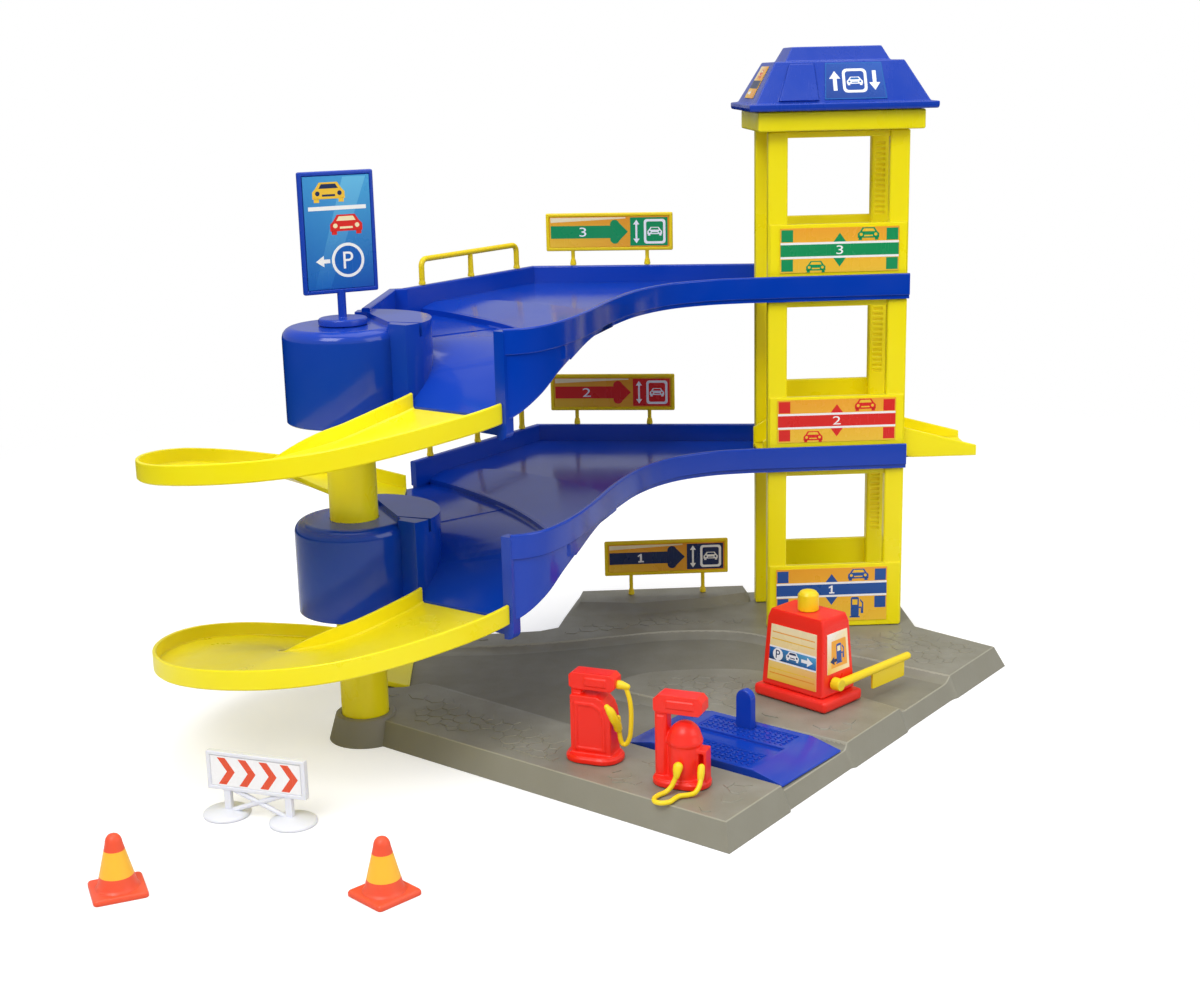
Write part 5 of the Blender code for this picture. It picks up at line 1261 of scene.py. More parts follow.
class GARAGE_OT_forecourt(bpy.types.Operator):
    """Builds the grey base with its road, bank and crazy paving"""
    bl_idname = "garage.forecourt"
    bl_label = "Forecourt"

    def execute(self, context):
        sizes = context.scene.garage_sizes
        road = road_line()
        piece_from(forecourt_shape(road), "base_plate", "base_grey", "road_grey", "base_edge",
                   name="base_moulding", sharp=32.0)
        stone = sizes.stone / MM
        kerb = offset(road, 4.2, closed=True)
        clear = [(PUMP_1, 15.0), (PUMP_2, 15.0), (BOOTH, 27.0), (AXIS, 19.5)]
        points = []
        for x, y in scattered(BASE, stone, 1.5, 7, 0.42):
            if depth(kerb, x, y) > -0.2 or (y > 34.0 and -112.0 < x < 0.0) or (y > -2.0 and x > -6.0):
                continue
            if not any(math.hypot(x - cx, y - cy) < r for (cx, cy), r in clear):
                points.append(Vector((x, y)))
        result = delaunay_2d_cdt(points, [], [], 0, SAME_SPOT)
        corners = [tuple(p) for p in result[0]]
        faces = []
        for face in result[2]:
            ring = [corners[i] for i in face]
            if max(math.dist(ring[i], ring[i - 1]) for i in range(3)) < stone * 2.1:
                faces.append(list(face))
        mesh = bpy.data.meshes.new("paving work")
        mesh.from_pydata(in_frame([(x, y, BASE_TOP + 0.01) for x, y in corners]), [], faces)
        stones = grown(paving_tree(), mesh, {"Share": sizes.joint, "Height": sizes.stone_height,
                                             "Finish": finish("base_grey")})
        attach(stones, "forecourt_paving", "garage", ())
        return {"FINISHED"}


# Tower
class GARAGE_OT_tower(bpy.types.Operator):
    """Finishes the lift tower's frames, its collar, the roof and the lift"""
    bl_idname = "garage.tower"
    bl_label = "Tower, roof and lift"

    def execute(self, context):
        for number in (1, 2, 3):
            for side in ("front", "back"):
                refined(f"tower_{side}_{number}", "tower_yellow", 0.00028)
        refined("tower_collar", "tower_yellow", 0.0004)
        refined("lift_platform", "tower_yellow")
        refined("roof", "roof_blue", 0.0005, 20.0)
        return {"FINISHED"}


# Signs and railings
RAIL_SPOTS = ((-178.8, 9.0), (-154.8, 40.6), (-130.8, 72.3))
RAIL_RISE, RAIL_BEND = 13.0, 3.5


def foot_profile(z):
    """The round foot of a railing's post."""
    return [(0.0, z + 3.3), (1.2, z + 3.3), (1.35, z + 3.0), (1.5, z + 1.8), (1.75, z + 1.0), (1.8, z + 0.5),
            (1.75, z), (0.0, z)]


def railing_shape(top):
    """A railing of bent tube on the back wall, with a post in the middle."""
    (bx, by), (ax, ay) = offset(BACK, BACK_WALL / 2)[-2:]
    length = math.hypot(bx - ax, by - ay)
    ux, uy = (bx - ax) / length, (by - ay) / length
    spots = []
    for fx, fy in RAIL_SPOTS:
        along = (fx - ax) * ux + (fy - ay) * uy
        spots.append((ax + ux * along, ay + uy * along))
    first, middle, last = spots
    z, peak = top + 0.3, top + RAIL_RISE
    curve = [(1 - math.cos(math.radians(a)), peak - RAIL_BEND + RAIL_BEND * math.sin(math.radians(a)))
             for a in range(0, 91, 15)]
    line = [(*first, z + 1.0), (*first, z + 6.0)]
    line += [(first[0] + ux * RAIL_BEND * d, first[1] + uy * RAIL_BEND * d, h) for d, h in curve]
    line += [(last[0] - ux * RAIL_BEND * d, last[1] - uy * RAIL_BEND * d, h) for d, h in curve[::-1]]
    line += [(*last, z + 6.0), (*last, z + 1.0)]
    shape = Shape().tube(line, 1.45, 18, ends=False)
    shape.tube([(*middle, z + 1.0), (*middle, peak - 0.6)], [1.5, 1.25], 16, ends=False)
    for spot in spots:
        shape.turn(foot_profile(z), *spot, 24)
    return shape


class GARAGE_OT_signs(bpy.types.Operator):
    """Builds the level signs, the parking sign and the railings"""
    bl_idname = "garage.signs"
    bl_label = "Signs and railings"

    def execute(self, context):
        for number in (1, 2, 3):
            refined(f"sign_level_{number}", "sign_yellow", 0.00025)
        refined("parking_sign", "roof_blue", 0.0003)
        for number, top in DECKS.items():
            piece_from(railing_shape(top), f"railing_{number}", "sign_yellow", sharp=50.0)
        return {"FINISHED"}


# Booth and barrier
BOOTH_FOOT = 17.0
BOOTH_SPANS = ((37.0, 33.0), (24.5, 19.5))  # Length and width, each at the foot and at the top
BARRIER_HEIGHT = 23.5
FLAG = ((26.2, 23.2), (51.8, 23.2), (51.8, 14.6), (51.2, 14.0), (26.8, 14.0), (26.2, 14.6))


def booth_corner(sx, sy, z):
    """A place on the booth's leaning walls at a height; 1 and -1 are its sides."""
    share = (z - BOOTH_FOOT) / (BOOTH_TOP - BOOTH_FOOT)
    half_x, half_y = ((foot + (top - foot) * share) / 2 for foot, top in BOOTH_SPANS)
    return (*turned(sx * half_x, sy * half_y, BOOTH_TURN, *BOOTH), z)


class GARAGE_OT_booth(bpy.types.Operator):
    """Builds the pay booth, its lamp and the barrier"""
    bl_idname = "garage.booth"
    bl_label = "Pay booth and barrier"

    def execute(self, context):
        refined("booth_plinth", "booth_red", 0.0004)
        refined("booth_body", "booth_red", 0.0003)
        z = BOOTH_TOP
        dome = [(4.2 * math.sin(math.radians(a)), z + 8.6 + 1.4 * math.cos(math.radians(a)))
                for a in range(0, 91, 15)]
        lamp = Shape().turn(dome + [(4.6, z + 8.2), (5.0, z + 7.6), (5.0, z + 0.8), (4.8, z + 0.3), (0.0, z + 0.3)],
                            *BOOTH, 56)
        piece_from(lamp, "booth_lamp", "sign_yellow", sharp=60.0)
        cx, cy, _ = booth_corner(1, -0.35, BARRIER_HEIGHT)
        way = BOOTH_TURN + math.pi / 2

        def spot(along, out, height=BARRIER_HEIGHT):
            return (cx + along * math.cos(way) + out * math.cos(BOOTH_TURN),
                    cy + along * math.sin(way) + out * math.sin(BOOTH_TURN), height)

        arm = Shape().tube([spot(a, 3.1) for a in (-0.6, 8.0, 30.0, 54.6)], [2.2, 2.1, 2.0, 1.9], 24)
        arm.tube([spot(0.0, o) for o in (0.6, 2.0, 5.2)], [3.0, 3.0, 2.8], 32, ends=False)
        arm.tube([spot(0.0, o) for o in (-3.3, 2.0)], 1.55, 20, ends=False)
        arm.loft([[spot(a, o, h) for a, h in FLAG] for o in (2.5, 3.7)])
        piece_from(arm, "barrier_arm", "sign_yellow", body="barrier", name="barrier_moulding", edge=0.00025,
                   sharp=50.0)
        return {"FINISHED"}


# Service ramp
TREAD_HEIGHT = 12.6 - 0.5 + 0.05
HANDLE_SPOT, HANDLE_CLEAR = (-4.0, 17.3), 0.0035


class GARAGE_OT_service(bpy.types.Operator):
    """Finishes the service platform with its tread plates, and its handle"""
    bl_idname = "garage.service"
    bl_label = "Service platform"

    def execute(self, context):
        sizes = context.scene.garage_sizes
        refined("service_platform", "deck_blue", 0.0003)
        refined("service_handle", "deck_blue", 0.0004)
        turn = Matrix.Rotation(PLATFORM_TURN, 4, "Z")
        tree = tread_tree()
        joined = bmesh.new()
        for across in (-14.0, 13.0):
            mesh = grown(tree, bpy.data.meshes.new("tread work"), {
                "Length": 0.0425, "Width": 0.0115, "Pitch": sizes.tread, "Size": 0.00125,
                "Finish": finish("deck_blue")})
            place, = in_frame([(*turned(0.0, across, PLATFORM_TURN, *PLATFORM), TREAD_HEIGHT)])
            mesh.transform(Matrix.Translation(place) @ turn)
            joined.from_mesh(mesh)
        (hx, hy, _), = in_frame([(*turned(*HANDLE_SPOT, PLATFORM_TURN, *PLATFORM), 0.0)])
        gone = [p for p in joined.verts if math.hypot(p.co.x - hx, p.co.y - hy) < HANDLE_CLEAR]
        bmesh.ops.delete(joined, geom=gone, context="VERTS")
        mesh = bpy.data.meshes.new("service_treads")
        joined.to_mesh(mesh)
        joined.free()
        mesh.materials.append(finish("deck_blue"))
        attach(mesh, "service_treads", "service_ramp", ())
        return {"FINISHED"}


# Pumps
HOSE_R = 1.05


def at_pump(pump, points):
    """Points beside a pump, turned and placed as it is."""
    return [(*turned(x, y, PUMP_TURN, *pump), z) for x, y, z in points]


def slabs(shape, pump, *spans):
    """Blocks that make up a pump; the last number of each is the radius of its corners."""
    for *span, corner in spans:
        shape.block(*span, pump, PUMP_TURN, corner)


def first_pump(z):
    """The pump with a window on each face."""
    pump = PUMP_1
    shape = Shape()
    slabs(shape, pump, (-12.9, 12.9, -9.4, 9.4, z, z + 2.2, 8.6), (-12.2, 12.2, -8.7, 8.7, z + 2.0, z + 3.2, 8.2))
    body = [(-9.4, z + 2.0), (9.4, z + 2.0), (9.4, z + 20.0), (8.9, z + 23.0), (7.8, z + 26.0), (5.6, z + 28.6),
            (2.4, z + 29.9), (-9.4, z + 29.9)]
    shape.profile(body, -5.4, 5.4, pump, PUMP_TURN)
    outer = [(-7.2, z + 5.0), (7.0, z + 5.0), (7.0, z + 19.6), (5.2, z + 24.6), (1.6, z + 26.8), (-7.2, z + 26.8)]
    inner = [(-6.0, z + 6.2), (5.8, z + 6.2), (5.8, z + 19.2), (4.4, z + 23.6), (1.2, z + 25.6), (-6.0, z + 25.6)]
    for y0, y1 in ((-5.9, -5.4), (5.4, 5.9)):
        shape.loft([at_pump(pump, [(x, y, h) for x, h in outline])
                    for outline, y in ((outer, y0), (outer, y1), (inner, y1), (inner, y0))], loop=True)
    slabs(shape, pump, (-9.8, -4.6, -3.4, 3.4, z + 27.0, z + 36.0, 1.2))
    bar = [(-10.3, z + 33.4), (-8.6, z + 32.2), (9.2, z + 32.2), (11.2, z + 34.0), (11.2, z + 38.2),
           (9.2, z + 40.0), (-8.6, z + 40.0), (-10.3, z + 38.6)]
    shape.profile(bar, -4.2, 4.2, pump, PUMP_TURN)
    slabs(shape, pump, (-3.0, 7.6, -4.8, 4.8, z + 34.4, z + 37.8, 0.8))
    return shape


def first_hose(z):
    """The hose that hangs from the first pump's bar, and its nozzle."""
    x, h = 12.2, z + 34.6
    line = flowing(at_pump(PUMP_1, [
        (x + 2.6, 0.0, h - 0.3), (x + 3.6, 0.0, h - 3.0), (x + 4.6, 0.0, h - 7.0), (x + 5.0, 0.0, h - 12.0),
        (x + 4.8, 0.0, h - 18.0), (x + 4.2, 0.0, h - 23.0), (x + 2.6, -0.4, h - 26.4), (x + 0.8, -0.8, h - 26.0),
        (x + 0.0, -1.2, h - 22.5), (x - 0.2, -1.5, h - 18.0), (x - 0.4, -1.6, h - 14.0)]), 5)
    plug = at_pump(PUMP_1, [(11.6, 0.0, h + 0.4), (13.0, 0.0, h + 0.3), (15.6, 0.0, h - 0.1)])
    grip = flowing(at_pump(PUMP_1, [(px, py - 0.6, pz) for px, py, pz in (
        (8.8, -6.6, z + 27.0), (10.6, -6.4, z + 24.6), (11.6, -5.2, z + 21.0), (12.0, -3.0, z + 18.0),
        (11.8, -1.6, z + 15.8))]), 5)
    shape = Shape().tube(line, HOSE_R, 16).tube(plug, [2.0, 1.9, 1.35], 20)
    return shape.tube(grip, [1.2 + 0.7 * ease(i / 5) for i in range(len(grip))], 18)


def second_pump(z):
    """The pump with a round tank, a post and an open frame."""
    pump = PUMP_2
    shape = Shape()
    slabs(shape, pump, (-12.9, 12.4, -8.4, 8.4, z, z + 2.4, 8.0), (-12.2, 11.7, -7.7, 7.7, z + 2.2, z + 3.4, 7.4),
          (-11.4, -5.8, -3.3, 3.3, z + 2.0, z + 33.0, 0.9), (-10.4, -6.8, -3.9, 3.9, z + 4.0, z + 30.0, 0.4))
    bar = [(-11.6, z + 32.6), (-10.2, z + 31.6), (8.4, z + 31.6), (10.2, z + 33.4), (10.2, z + 37.8),
           (8.4, z + 39.8), (-9.0, z + 39.8), (-11.6, z + 37.6)]
    shape.profile(bar, -4.2, 4.2, pump, PUMP_TURN)
    slabs(shape, pump, (-6.0, 6.6, -4.8, 4.8, z + 34.2, z + 37.4, 0.8))
    dome = [(0.0, z + 28.0)] + [(6.9 * math.sin(math.radians(a)), z + 21.0 + 7.0 * math.cos(math.radians(a)))
                                for a in range(10, 85, 10)]
    shape.turn(dome + [(7.6, z + 19.9), (7.6, z + 18.6), (7.0, z + 17.8), (7.0, z + 2.0), (0.0, z + 2.0)],
               *turned(1.2, 0.0, PUMP_TURN, *pump), 64)
    slabs(shape, pump, (6.6, 8.2, -3.5, 3.5, z + 2.0, z + 17.0, 0.7), (6.6, 11.5, 1.4, 3.5, z + 2.0, z + 17.0, 0.7),
          (10.3, 11.5, -3.5, 3.5, z + 2.0, z + 17.0, 0.5), (6.6, 11.5, -3.5, 3.5, z + 2.0, z + 6.0, 0.7),
          (6.6, 11.5, -3.5, 3.5, z + 15.2, z + 17.0, 0.7), (-7.5, 2.0, -2.5, 2.5, z + 6.0, z + 20.0, 0.4))
    return shape


def second_hose(z):
    """The hose that lies on the ground beside the second pump, and its two nozzles."""
    low = z + 1.1
    line = flowing(at_pump(PUMP_2, [
        (1.0, -10.6, z + 8.0), (0.2, -11.2, z + 5.2), (-1.0, -12.4, z + 2.6), (-2.6, -14.6, low),
        (-4.2, -18.0, low), (-4.8, -21.6, low), (-3.4, -24.6, low), (-0.4, -25.2, low), (2.4, -22.8, low),
        (3.2, -19.4, low), (4.2, -16.2, low), (7.0, -14.0, low), (9.6, -12.2, low + 0.6), (10.8, -9.8, low + 3.0),
        (10.6, -7.2, low + 6.0)]), 5)
    upper = at_pump(PUMP_2, [(1.2, -9.1, z + 10.8), (1.1, -9.8, z + 9.4), (1.0, -10.6, z + 7.2)])
    lower = at_pump(PUMP_2, [(10.6, -7.8, low + 5.0), (10.4, -6.6, low + 7.2), (10.2, -5.4, z + 10.4)])
    shape = Shape().tube(line, HOSE_R, 16).tube(upper, [2.1, 1.9, 1.3], 20)
    return shape.tube(lower, [1.3, 1.6, 1.5], 18)


class GARAGE_OT_pumps(bpy.types.Operator):
    """Builds the two fuel pumps and their hoses"""
    bl_idname = "garage.pumps"
    bl_label = "Fuel pumps"

    def execute(self, context):
        z = BASE_TOP + 0.3
        for node, pump, hose in (("pump_1", first_pump, first_hose), ("pump_2", second_pump, second_hose)):
            melted(pump(z), node, "booth_red")
            piece_from(hose(z), node + "_hose", "sign_yellow", sharp=60.0)
        return {"FINISHED"}


# Loose road pieces
CONE_HALF = 10.4


def barricade_shape():
    """The barricade: a board with a raised frame on two round feet."""
    at, turn = BARRICADE, BARRICADE_TURN
    shape = Shape()
    outer = [(-23.4, 11.7), (23.4, 11.7), (23.4, 28.9), (-23.4, 28.9)]
    inner = [(-21.6, 13.4), (21.6, 13.4), (21.6, 27.2), (-21.6, 27.2)]
    shape.loft([[(*turned(x, y, turn, *at), h) for x, h in outline]
                for outline, y in ((outer, 1.6), (outer, -1.6), (inner, -1.6), (inner, -0.95))])
    for side in (-1, 1):
        shape.turn([(0.0, 3.1), (3.2, 3.1), (3.8, 2.9), (6.8, 2.5), (9.3, 1.9), (10.0, 1.4), (10.2, 0.8),
                    (10.1, 0.2), (9.8, 0.0), (0.0, 0.0)], *turned(side * 15.9, 0.0, turn, *at), 56)
        shape.block(side * 14.6 - 1.6, side * 14.6 + 1.6, -1.3, 1.3, 1.0, 13.0, at, turn, 0.4)
        ends = ((-13.5 * side, 12.6), (13.5 * side, 2.2))
        shape.tube([(*turned(x, 0.0, turn, *at), h) for x, h in ends], 1.15, 14, ends=False)
    return shape


def cone_shape(at, turn):
    """A traffic cone on its square foot; ink 1 is the band."""
    layers = []
    for inset, h, corner in ((0.3, 0.0, 1.4), (0.0, 0.3, 1.6), (0.0, 1.5, 1.6), (0.35, 2.1, 1.5), (1.0, 2.4, 1.2)):
        side = CONE_HALF - inset
        layers.append([(*turned(x, y, turn, *at), h) for x, y in rounded(-side, side, -side, side, corner, 4)])
    wall = [(8.8, 2.0), (8.5, 2.5), (8.0, 3.0), (7.6, 3.6)]
    taper = [(7.6 - 4.2 * (h - 3.6) / 16.7, h) for h in (5.5, 7.6, 12.0, 17.8, 20.3)]
    tip = [(3.2, 21.6), (2.8, 22.7), (2.0, 23.7), (1.0, 24.2), (0.0, 24.3)]
    shape = Shape().loft(layers).turn([(0.0, 2.0)] + wall + taper[:2], *at, 64)
    return shape.turn(taper[1:4], *at, 64, ink=1).turn(taper[3:] + tip, *at, 64)


class GARAGE_OT_road_pieces(bpy.types.Operator):
    """Builds the barricade and the two traffic cones"""
    bl_idname = "garage.road_pieces"
    bl_label = "Barricade and cones"

    def execute(self, context):
        piece_from(barricade_shape(), "barricade", "barricade_white", body="barricade", edge=0.0004, sharp=40.0)
        for node, (at, turn) in CONES.items():
            piece_from(cone_shape(at, turn), node, "cone_orange", "cone_band", body=node, sharp=50.0)
        return {"FINISHED"}


# Printed labels
LEVEL_INKS = {1: "blue", 2: "red", 3: "green"}
LEVEL_PANELS = {1: ((4.5, 14.5), 59.5, 29.5), 2: ((5.0, 113.0), 62.0, 22.5), 3: ((6.0, 201.4), 61.0, 22.6)}


def level_panel(number):
    """The label on the tower's front at a level: a number on a band, a diamond and two cars."""
    (x, z), width, height = LEVEL_PANELS[number]
    ink = LEVEL_INKS[number]
    art = Print((x, TOWER_FACE - LABEL_LIFT, z), (1, 0, 0), (0, 0, 1))
    art.bar(0, 0, width, height, ["gold", "gold", "amber", "amber"])
    mid = height * (0.5 if number > 1 else 0.6)
    band = 3.0
    middle = width * .5
    art.area([(middle - 6.2, mid), (middle, mid - 8.6), (middle + 6.2, mid), (middle, mid + 8.6)], ink, 2)
    for u in (0.6, width - 6.6):
        art.bar(u, mid + 4.4, u + 6.0, min(height - 0.8, mid + 10.8), ink, 2)
        art.bar(u, max(0.8, mid - 10.8), u + 6.0, mid - 4.4, ink, 2)
    art.bar(0.2, mid - band - 1.1, width - 0.2, mid + band + 1.1, "white", 3)
    art.bar(0.2, mid - band, width - 0.2, mid + band, ink, 4)
    art.letter(str(number), middle, mid, 4.4, "white", 5, 1.5)
    art.car(width * .74, mid + 4.6, 11.0, ink, "gold", 4)
    art.car(width * .3, mid - 11.2, 10.0, ink, "gold", 4)
    if number == 1:
        art.fuel(width * .72, 1.6, 11.5, ink, "gold", 2)
    art.finish(f"panel_label_{number}", "garage", "gold")


def level_sign(number, x, y, z, height, turn, ink, width=69.5):
    """The label of a level's sign: a number and arrows on a band, and a car in a frame."""
    left = turned(-width / 2 + 2.1, -2.2 / 2 + 0.6 - LABEL_LIFT, turn, x, y)
    art = Print((*left, z + 2.1), (math.cos(turn), math.sin(turn), 0), (0, 0, 1))
    w, h = width - 4.2, height - 4.2
    art.bar(0, 0, w, h, ["gold", "orange", "orange", "amber"])
    art.area([(0.6, h * .82), (w * .64, h * .94), (w * .64, h * .98), (0.6, h * .98)], "cream", 2)
    split = w * 0.665
    art.bar(0.6, h * .5 - 3.4, split - 6.0, h * .5 + 3.4, ink, 3)
    lobe = [(split - 9.5, h * .5)]
    for k in range(9):
        a = math.radians(200 - 22.5 * k)
        lobe.append((split - 7.6 + 2.6 * math.cos(a), h * .5 + 3.9 + 2.6 * math.sin(a)))
    lobe.append((split - 0.4, h * .5))
    lobe += [(u, h - v) for u, v in lobe[1:-1][::-1]]
    art.area(lobe, ink, 4)
    art.letter(str(number), split * 0.42, h * .5, 4.9, "white", 5, 1.5)
    art.bar(split + 0.8, 0.5, w - 0.6, h - 0.5, ink, 3)
    for degrees in (90, -90):
        art.arrow(split + 4.2, h * .5, 6.4, 3.4, degrees, "white", 4, 0.3)
    cu = split + 14.2
    art.soft_bar(cu - 5.9, 1.5, cu + 5.9, h - 1.5, 1.6, "white", 4)
    art.soft_bar(cu - 4.6, 2.8, cu + 4.6, h - 2.8, 1.0, ink, 5)
    art.car(cu, h * .5 - 2.3, 8.0, "white", ink, 6)
    art.finish(f"sign_label_{number}", "garage", "gold")


def sloped_print(corner, right, up):
    """Artwork on a face of the roof; the corner lies in the roof's own surface."""
    up = Vector(up).normalized()
    return Print(Vector(corner) + Vector(right).cross(up) * LABEL_LIFT, right, up)


def leaning_print(low, high, *sides):
    """Artwork on a face of the booth, with its width at the foot, its height, and its taper on each side."""
    a, b, c, d = (Vector(booth_corner(*side, z)) for side, z in zip(sides + sides[::-1], (low, low, high, high)))
    rise = (d + c) / 2 - (a + b) / 2
    right, up = (b - a).normalized(), rise.normalized()
    width = (b - a).length
    return Print(a + right.cross(up) * LABEL_LIFT, right, up), width, rise.length, (width - (c - d).length) / 2


class GARAGE_OT_labels(bpy.types.Operator):
    """Prints the plain labels of panels, signs, roof, booth and barricade"""
    bl_idname = "garage.labels"
    bl_label = "Printed labels"

    def execute(self, context):
        for number in LEVEL_PANELS:
            level_panel(number)
        level_sign(1, -49.5, 58.0, 27.5, 20.0, 0.0, "navy")
        turn = math.atan2(-18.0, 120.0)
        y = 66.0 + 18.0 * 77.0 / 120.0 - BACK_WALL / 2 - 0.15
        for number, top in DECKS.items():
            level_sign(number, -77.0, y, top + 8.0, 20.5, turn, LEVEL_INKS[number])
        self.roof_front()
        self.roof_side()
        self.parking()
        self.booth()
        self.barricade()
        return {"FINISHED"}

    def roof_front(self):
        """A car in a frame between two arrows."""
        slope = 11.2 / 19.8
        h = 17.5 * math.hypot(1.0, slope)
        art = sloped_print((27.0, -5.6 + (5.0 - 3.8) * slope, ROOF_FOOT + 5.0), (1, 0, 0), (0.0, slope, 1.0))
        art.area([(0, 0), (31.0, 0), (29.5, h), (1.5, h)], "deep")
        art.area([(0.5, 0.5), (30.5, 0.5), (29.1, h - .5), (1.9, h - .5)],
                 [srgb(26, 66, 150), srgb(30, 76, 166), srgb(42, 92, 184), srgb(34, 80, 170)], 2)
        mid = h / 2
        art.arrow(5.6, mid - 5.4, 10.8, 5.6, 90, "white", 3, 0.34)
        art.arrow(25.4, mid + 5.4, 10.8, 5.6, -90, "white", 3, 0.34)
        art.soft_bar(9.4, mid - 6.6, 21.6, mid + 6.6, 2.4, "white", 3)
        art.soft_bar(10.8, mid - 5.2, 20.2, mid + 5.2, 1.6, srgb(34, 78, 166), 4)
        art.car(15.5, mid - 2.6, 8.0, "white", "deep", 5)
        art.finish("roof_label_front", "garage", "deep")

    def roof_side(self):
        """A car above a band with an arrow."""
        slope = 11.1 / 19.8
        h = 15.5 * math.hypot(1.0, slope)
        art = sloped_print((-7.5 + (6.0 - 3.8) * slope, 44.0, ROOF_FOOT + 6.0), (0, -1, 0), (slope, 0.0, 1.0))
        art.area([(0, 0), (29.0, 0), (27.0, h), (2.0, h)], ["gold", "orange", "amber", "cream"])
        art.area([(1.0, h * .3), (28.0, h * .3), (27.6, h * .55), (1.6, h * .55)], "navy", 2)
        art.car(14.5, h * .6, 9.0, "red", "cream", 2)
        art.arrow(4.0, h * .16, 9.0, 3.6, 0, "white", 2)
        art.finish("roof_label_side", "garage", "gold")

    def parking(self):
        """The parking sign: two cars, and a plain P in a ring."""
        turn = math.radians(26.0)
        z = DECKS[3] - HUB_DROP + 0.3
        left = turned(-15.4, -0.7 - LABEL_LIFT, turn, *AXIS)
        art = Print((*left, z + 16.1), (math.cos(turn), math.sin(turn), 0), (0, 0, 1))
        w, h = 30.8, 49.3
        art.bar(0, 0, w, h, [srgb(20, 96, 186), srgb(16, 84, 176), srgb(74, 170, 226), srgb(60, 150, 216)])
        low, high = srgb(26, 104, 192), srgb(104, 192, 236)
        art.area([(w * .1, 0.6), (w * .34, 0.6), (w * .95, h - 0.6), (w * .6, h - 0.6)], [low, low, high, high], 2)
        cu, cv = w * .62, h * .25
        art.disc(cu, cv, 7.6, "white", 3)
        art.disc(cu, cv, 6.3, srgb(22, 98, 188), 4)
        art.letter("P", cu + 0.1, cv, 7.4, "white", 5, 1.0)
        art.arrow(cu - 8.4, cv, 6.6, 5.0, 180, "white", 3, 0.34)
        art.car(w * .38, h * .77, 15.0, "gold", "navy", 3)
        art.car(w * .62, h * .48, 15.0, "red", "cream", 3)
        art.bar(2.0, h * .70, w - 2.0, h * .735, "white", 3)
        art.finish("parking_label", "parking_sign", "deep")

    def booth(self):
        """The booth's two labels: a band with a P, a car and an arrow; and a fuel pump."""
        art, w, h, t = leaning_print(20.3, 47.5, (-0.8, -1), (0.8, -1))
        art.area([(0, 0), (w, 0), (w - t, h), (t, h)], ["gold", "amber", "cream", "cream"])
        for low, high, inks, level in ((.34, .62, "white", 2), (.37, .59, ["navy", "deep", "sky", "deep"], 3)):
            art.area([(0.5, h * low), (w - 0.5, h * low), (w - t * .62, h * high), (t * .62, h * high)], inks, level)
        art.disc(w * .2, h * .48, 3.0, "white", 4)
        art.letter("P", w * .2, h * .48, 4.0, "navy", 5, 1.0)
        art.car(w * .5, h * .42, 7.6, "white", "navy", 4)
        art.arrow(w * .68, h * .48, 6.8, 4.4, 0, "white", 4)
        for share, tint in ((0.12, "orange"), (0.2, "gold"), (0.74, "gold"), (0.86, "amber")):
            art.bar(t * share + 1.0, h * share, w - t * share - 1.0, h * share + 0.5, tint, 2)
        art.finish("booth_label_front", "garage", "cream")
        art, w, h, t = leaning_print(28.3, 47.5, (1, -0.72), (1, 0.72))
        art.area([(0, 0), (w, 0), (w - t, h), (t, h)], ["gold", "cream", "cream", "white"])
        art.area([(w * .18, h * .12), (w * .9, h * .12), (w * .86, h * .8), (w * .22, h * .8)], "amber", 2)
        art.fuel(w * .56, h * .2, h * .5, "blue", "cream", 3)
        art.arrow(w * .44, h * .3, 5.0, 4.0, 180, "navy", 6)
        art.finish("booth_label_side", "garage", "cream")

    def barricade(self):
        """Four slanted stripes."""
        left = turned(-21.3, -0.9 - LABEL_LIFT, BARRICADE_TURN, *BARRICADE)
        art = Print((*left, 13.7), (math.cos(BARRICADE_TURN), math.sin(BARRICADE_TURN), 0), (0, 0, 1))
        w, h = 42.6, 13.2
        art.bar(0, 0, w, h, "white")
        for k in range(4):
            u = 3.2 + 10.0 * k
            art.area([(u, 0.6), (u + 3.8, 0.6), (u + 8.2, h / 2), (u + 3.8, h - 0.6), (u, h - 0.6), (u + 4.4, h / 2)],
                     "coral", 2)
        art.finish("barricade_label", "barricade", "white")


# Stage
WHITE, BLACK, FLOOR_GREY = (1.0, 1.0, 1.0, 1.0), (0.0, 0.0, 0.0, 1.0), (0.62, 0.62, 0.63, 1.0)
# Each lamp: its place, what it is turned to, its size and its power
LAMPS = {
    "key light": ((-0.55, -0.95, 1.25), (0.0, 0.0, 0.1), 0.8, 12.5),
    "right fill": ((1.2, -0.6, 0.7), (0.05, 0.0, 0.12), 0.9, 4.5),
    "top light": ((0.1, 0.25, 1.5), (0.0, 0.0, 0.0), 1.4, 9.0),
}
CAMERA_PLACE = (-125.3, -870.9, 303.6)
YAW, PITCH, ROLL = math.radians(2.417), math.radians(14.005), math.radians(-1.293)


def floor_finish():
    """A pale floor that fades to white light away from the toy."""
    mat = bpy.data.materials.new("pale floor")
    mat.use_nodes = True
    tree = mat.node_tree
    place = tree.nodes.new("ShaderNodeTexCoord").outputs["Object"]
    away = wired(tree, "ShaderNodeVectorMath", {0: place}, operation="LENGTH").outputs["Value"]
    fade = wired(tree, "ShaderNodeMapRange", {"Value": away, "From Min": 0.32, "From Max": 0.85},
                 interpolation_type="SMOOTHSTEP").outputs["Result"]
    seen = tree.nodes.new("ShaderNodeLightPath").outputs["Is Camera Ray"]
    strength = maths(tree, "MULTIPLY", ranged(tree, fade, to_min=0.5, to_max=1.0), seen)
    fed(tree, tree.nodes["Principled BSDF"], {
        "Base Color": mixed(tree, fade, FLOOR_GREY, BLACK), "Roughness": 0.9, "Specular IOR Level": 0.0,
        "Emission Color": WHITE, "Emission Strength": strength})
    return mat


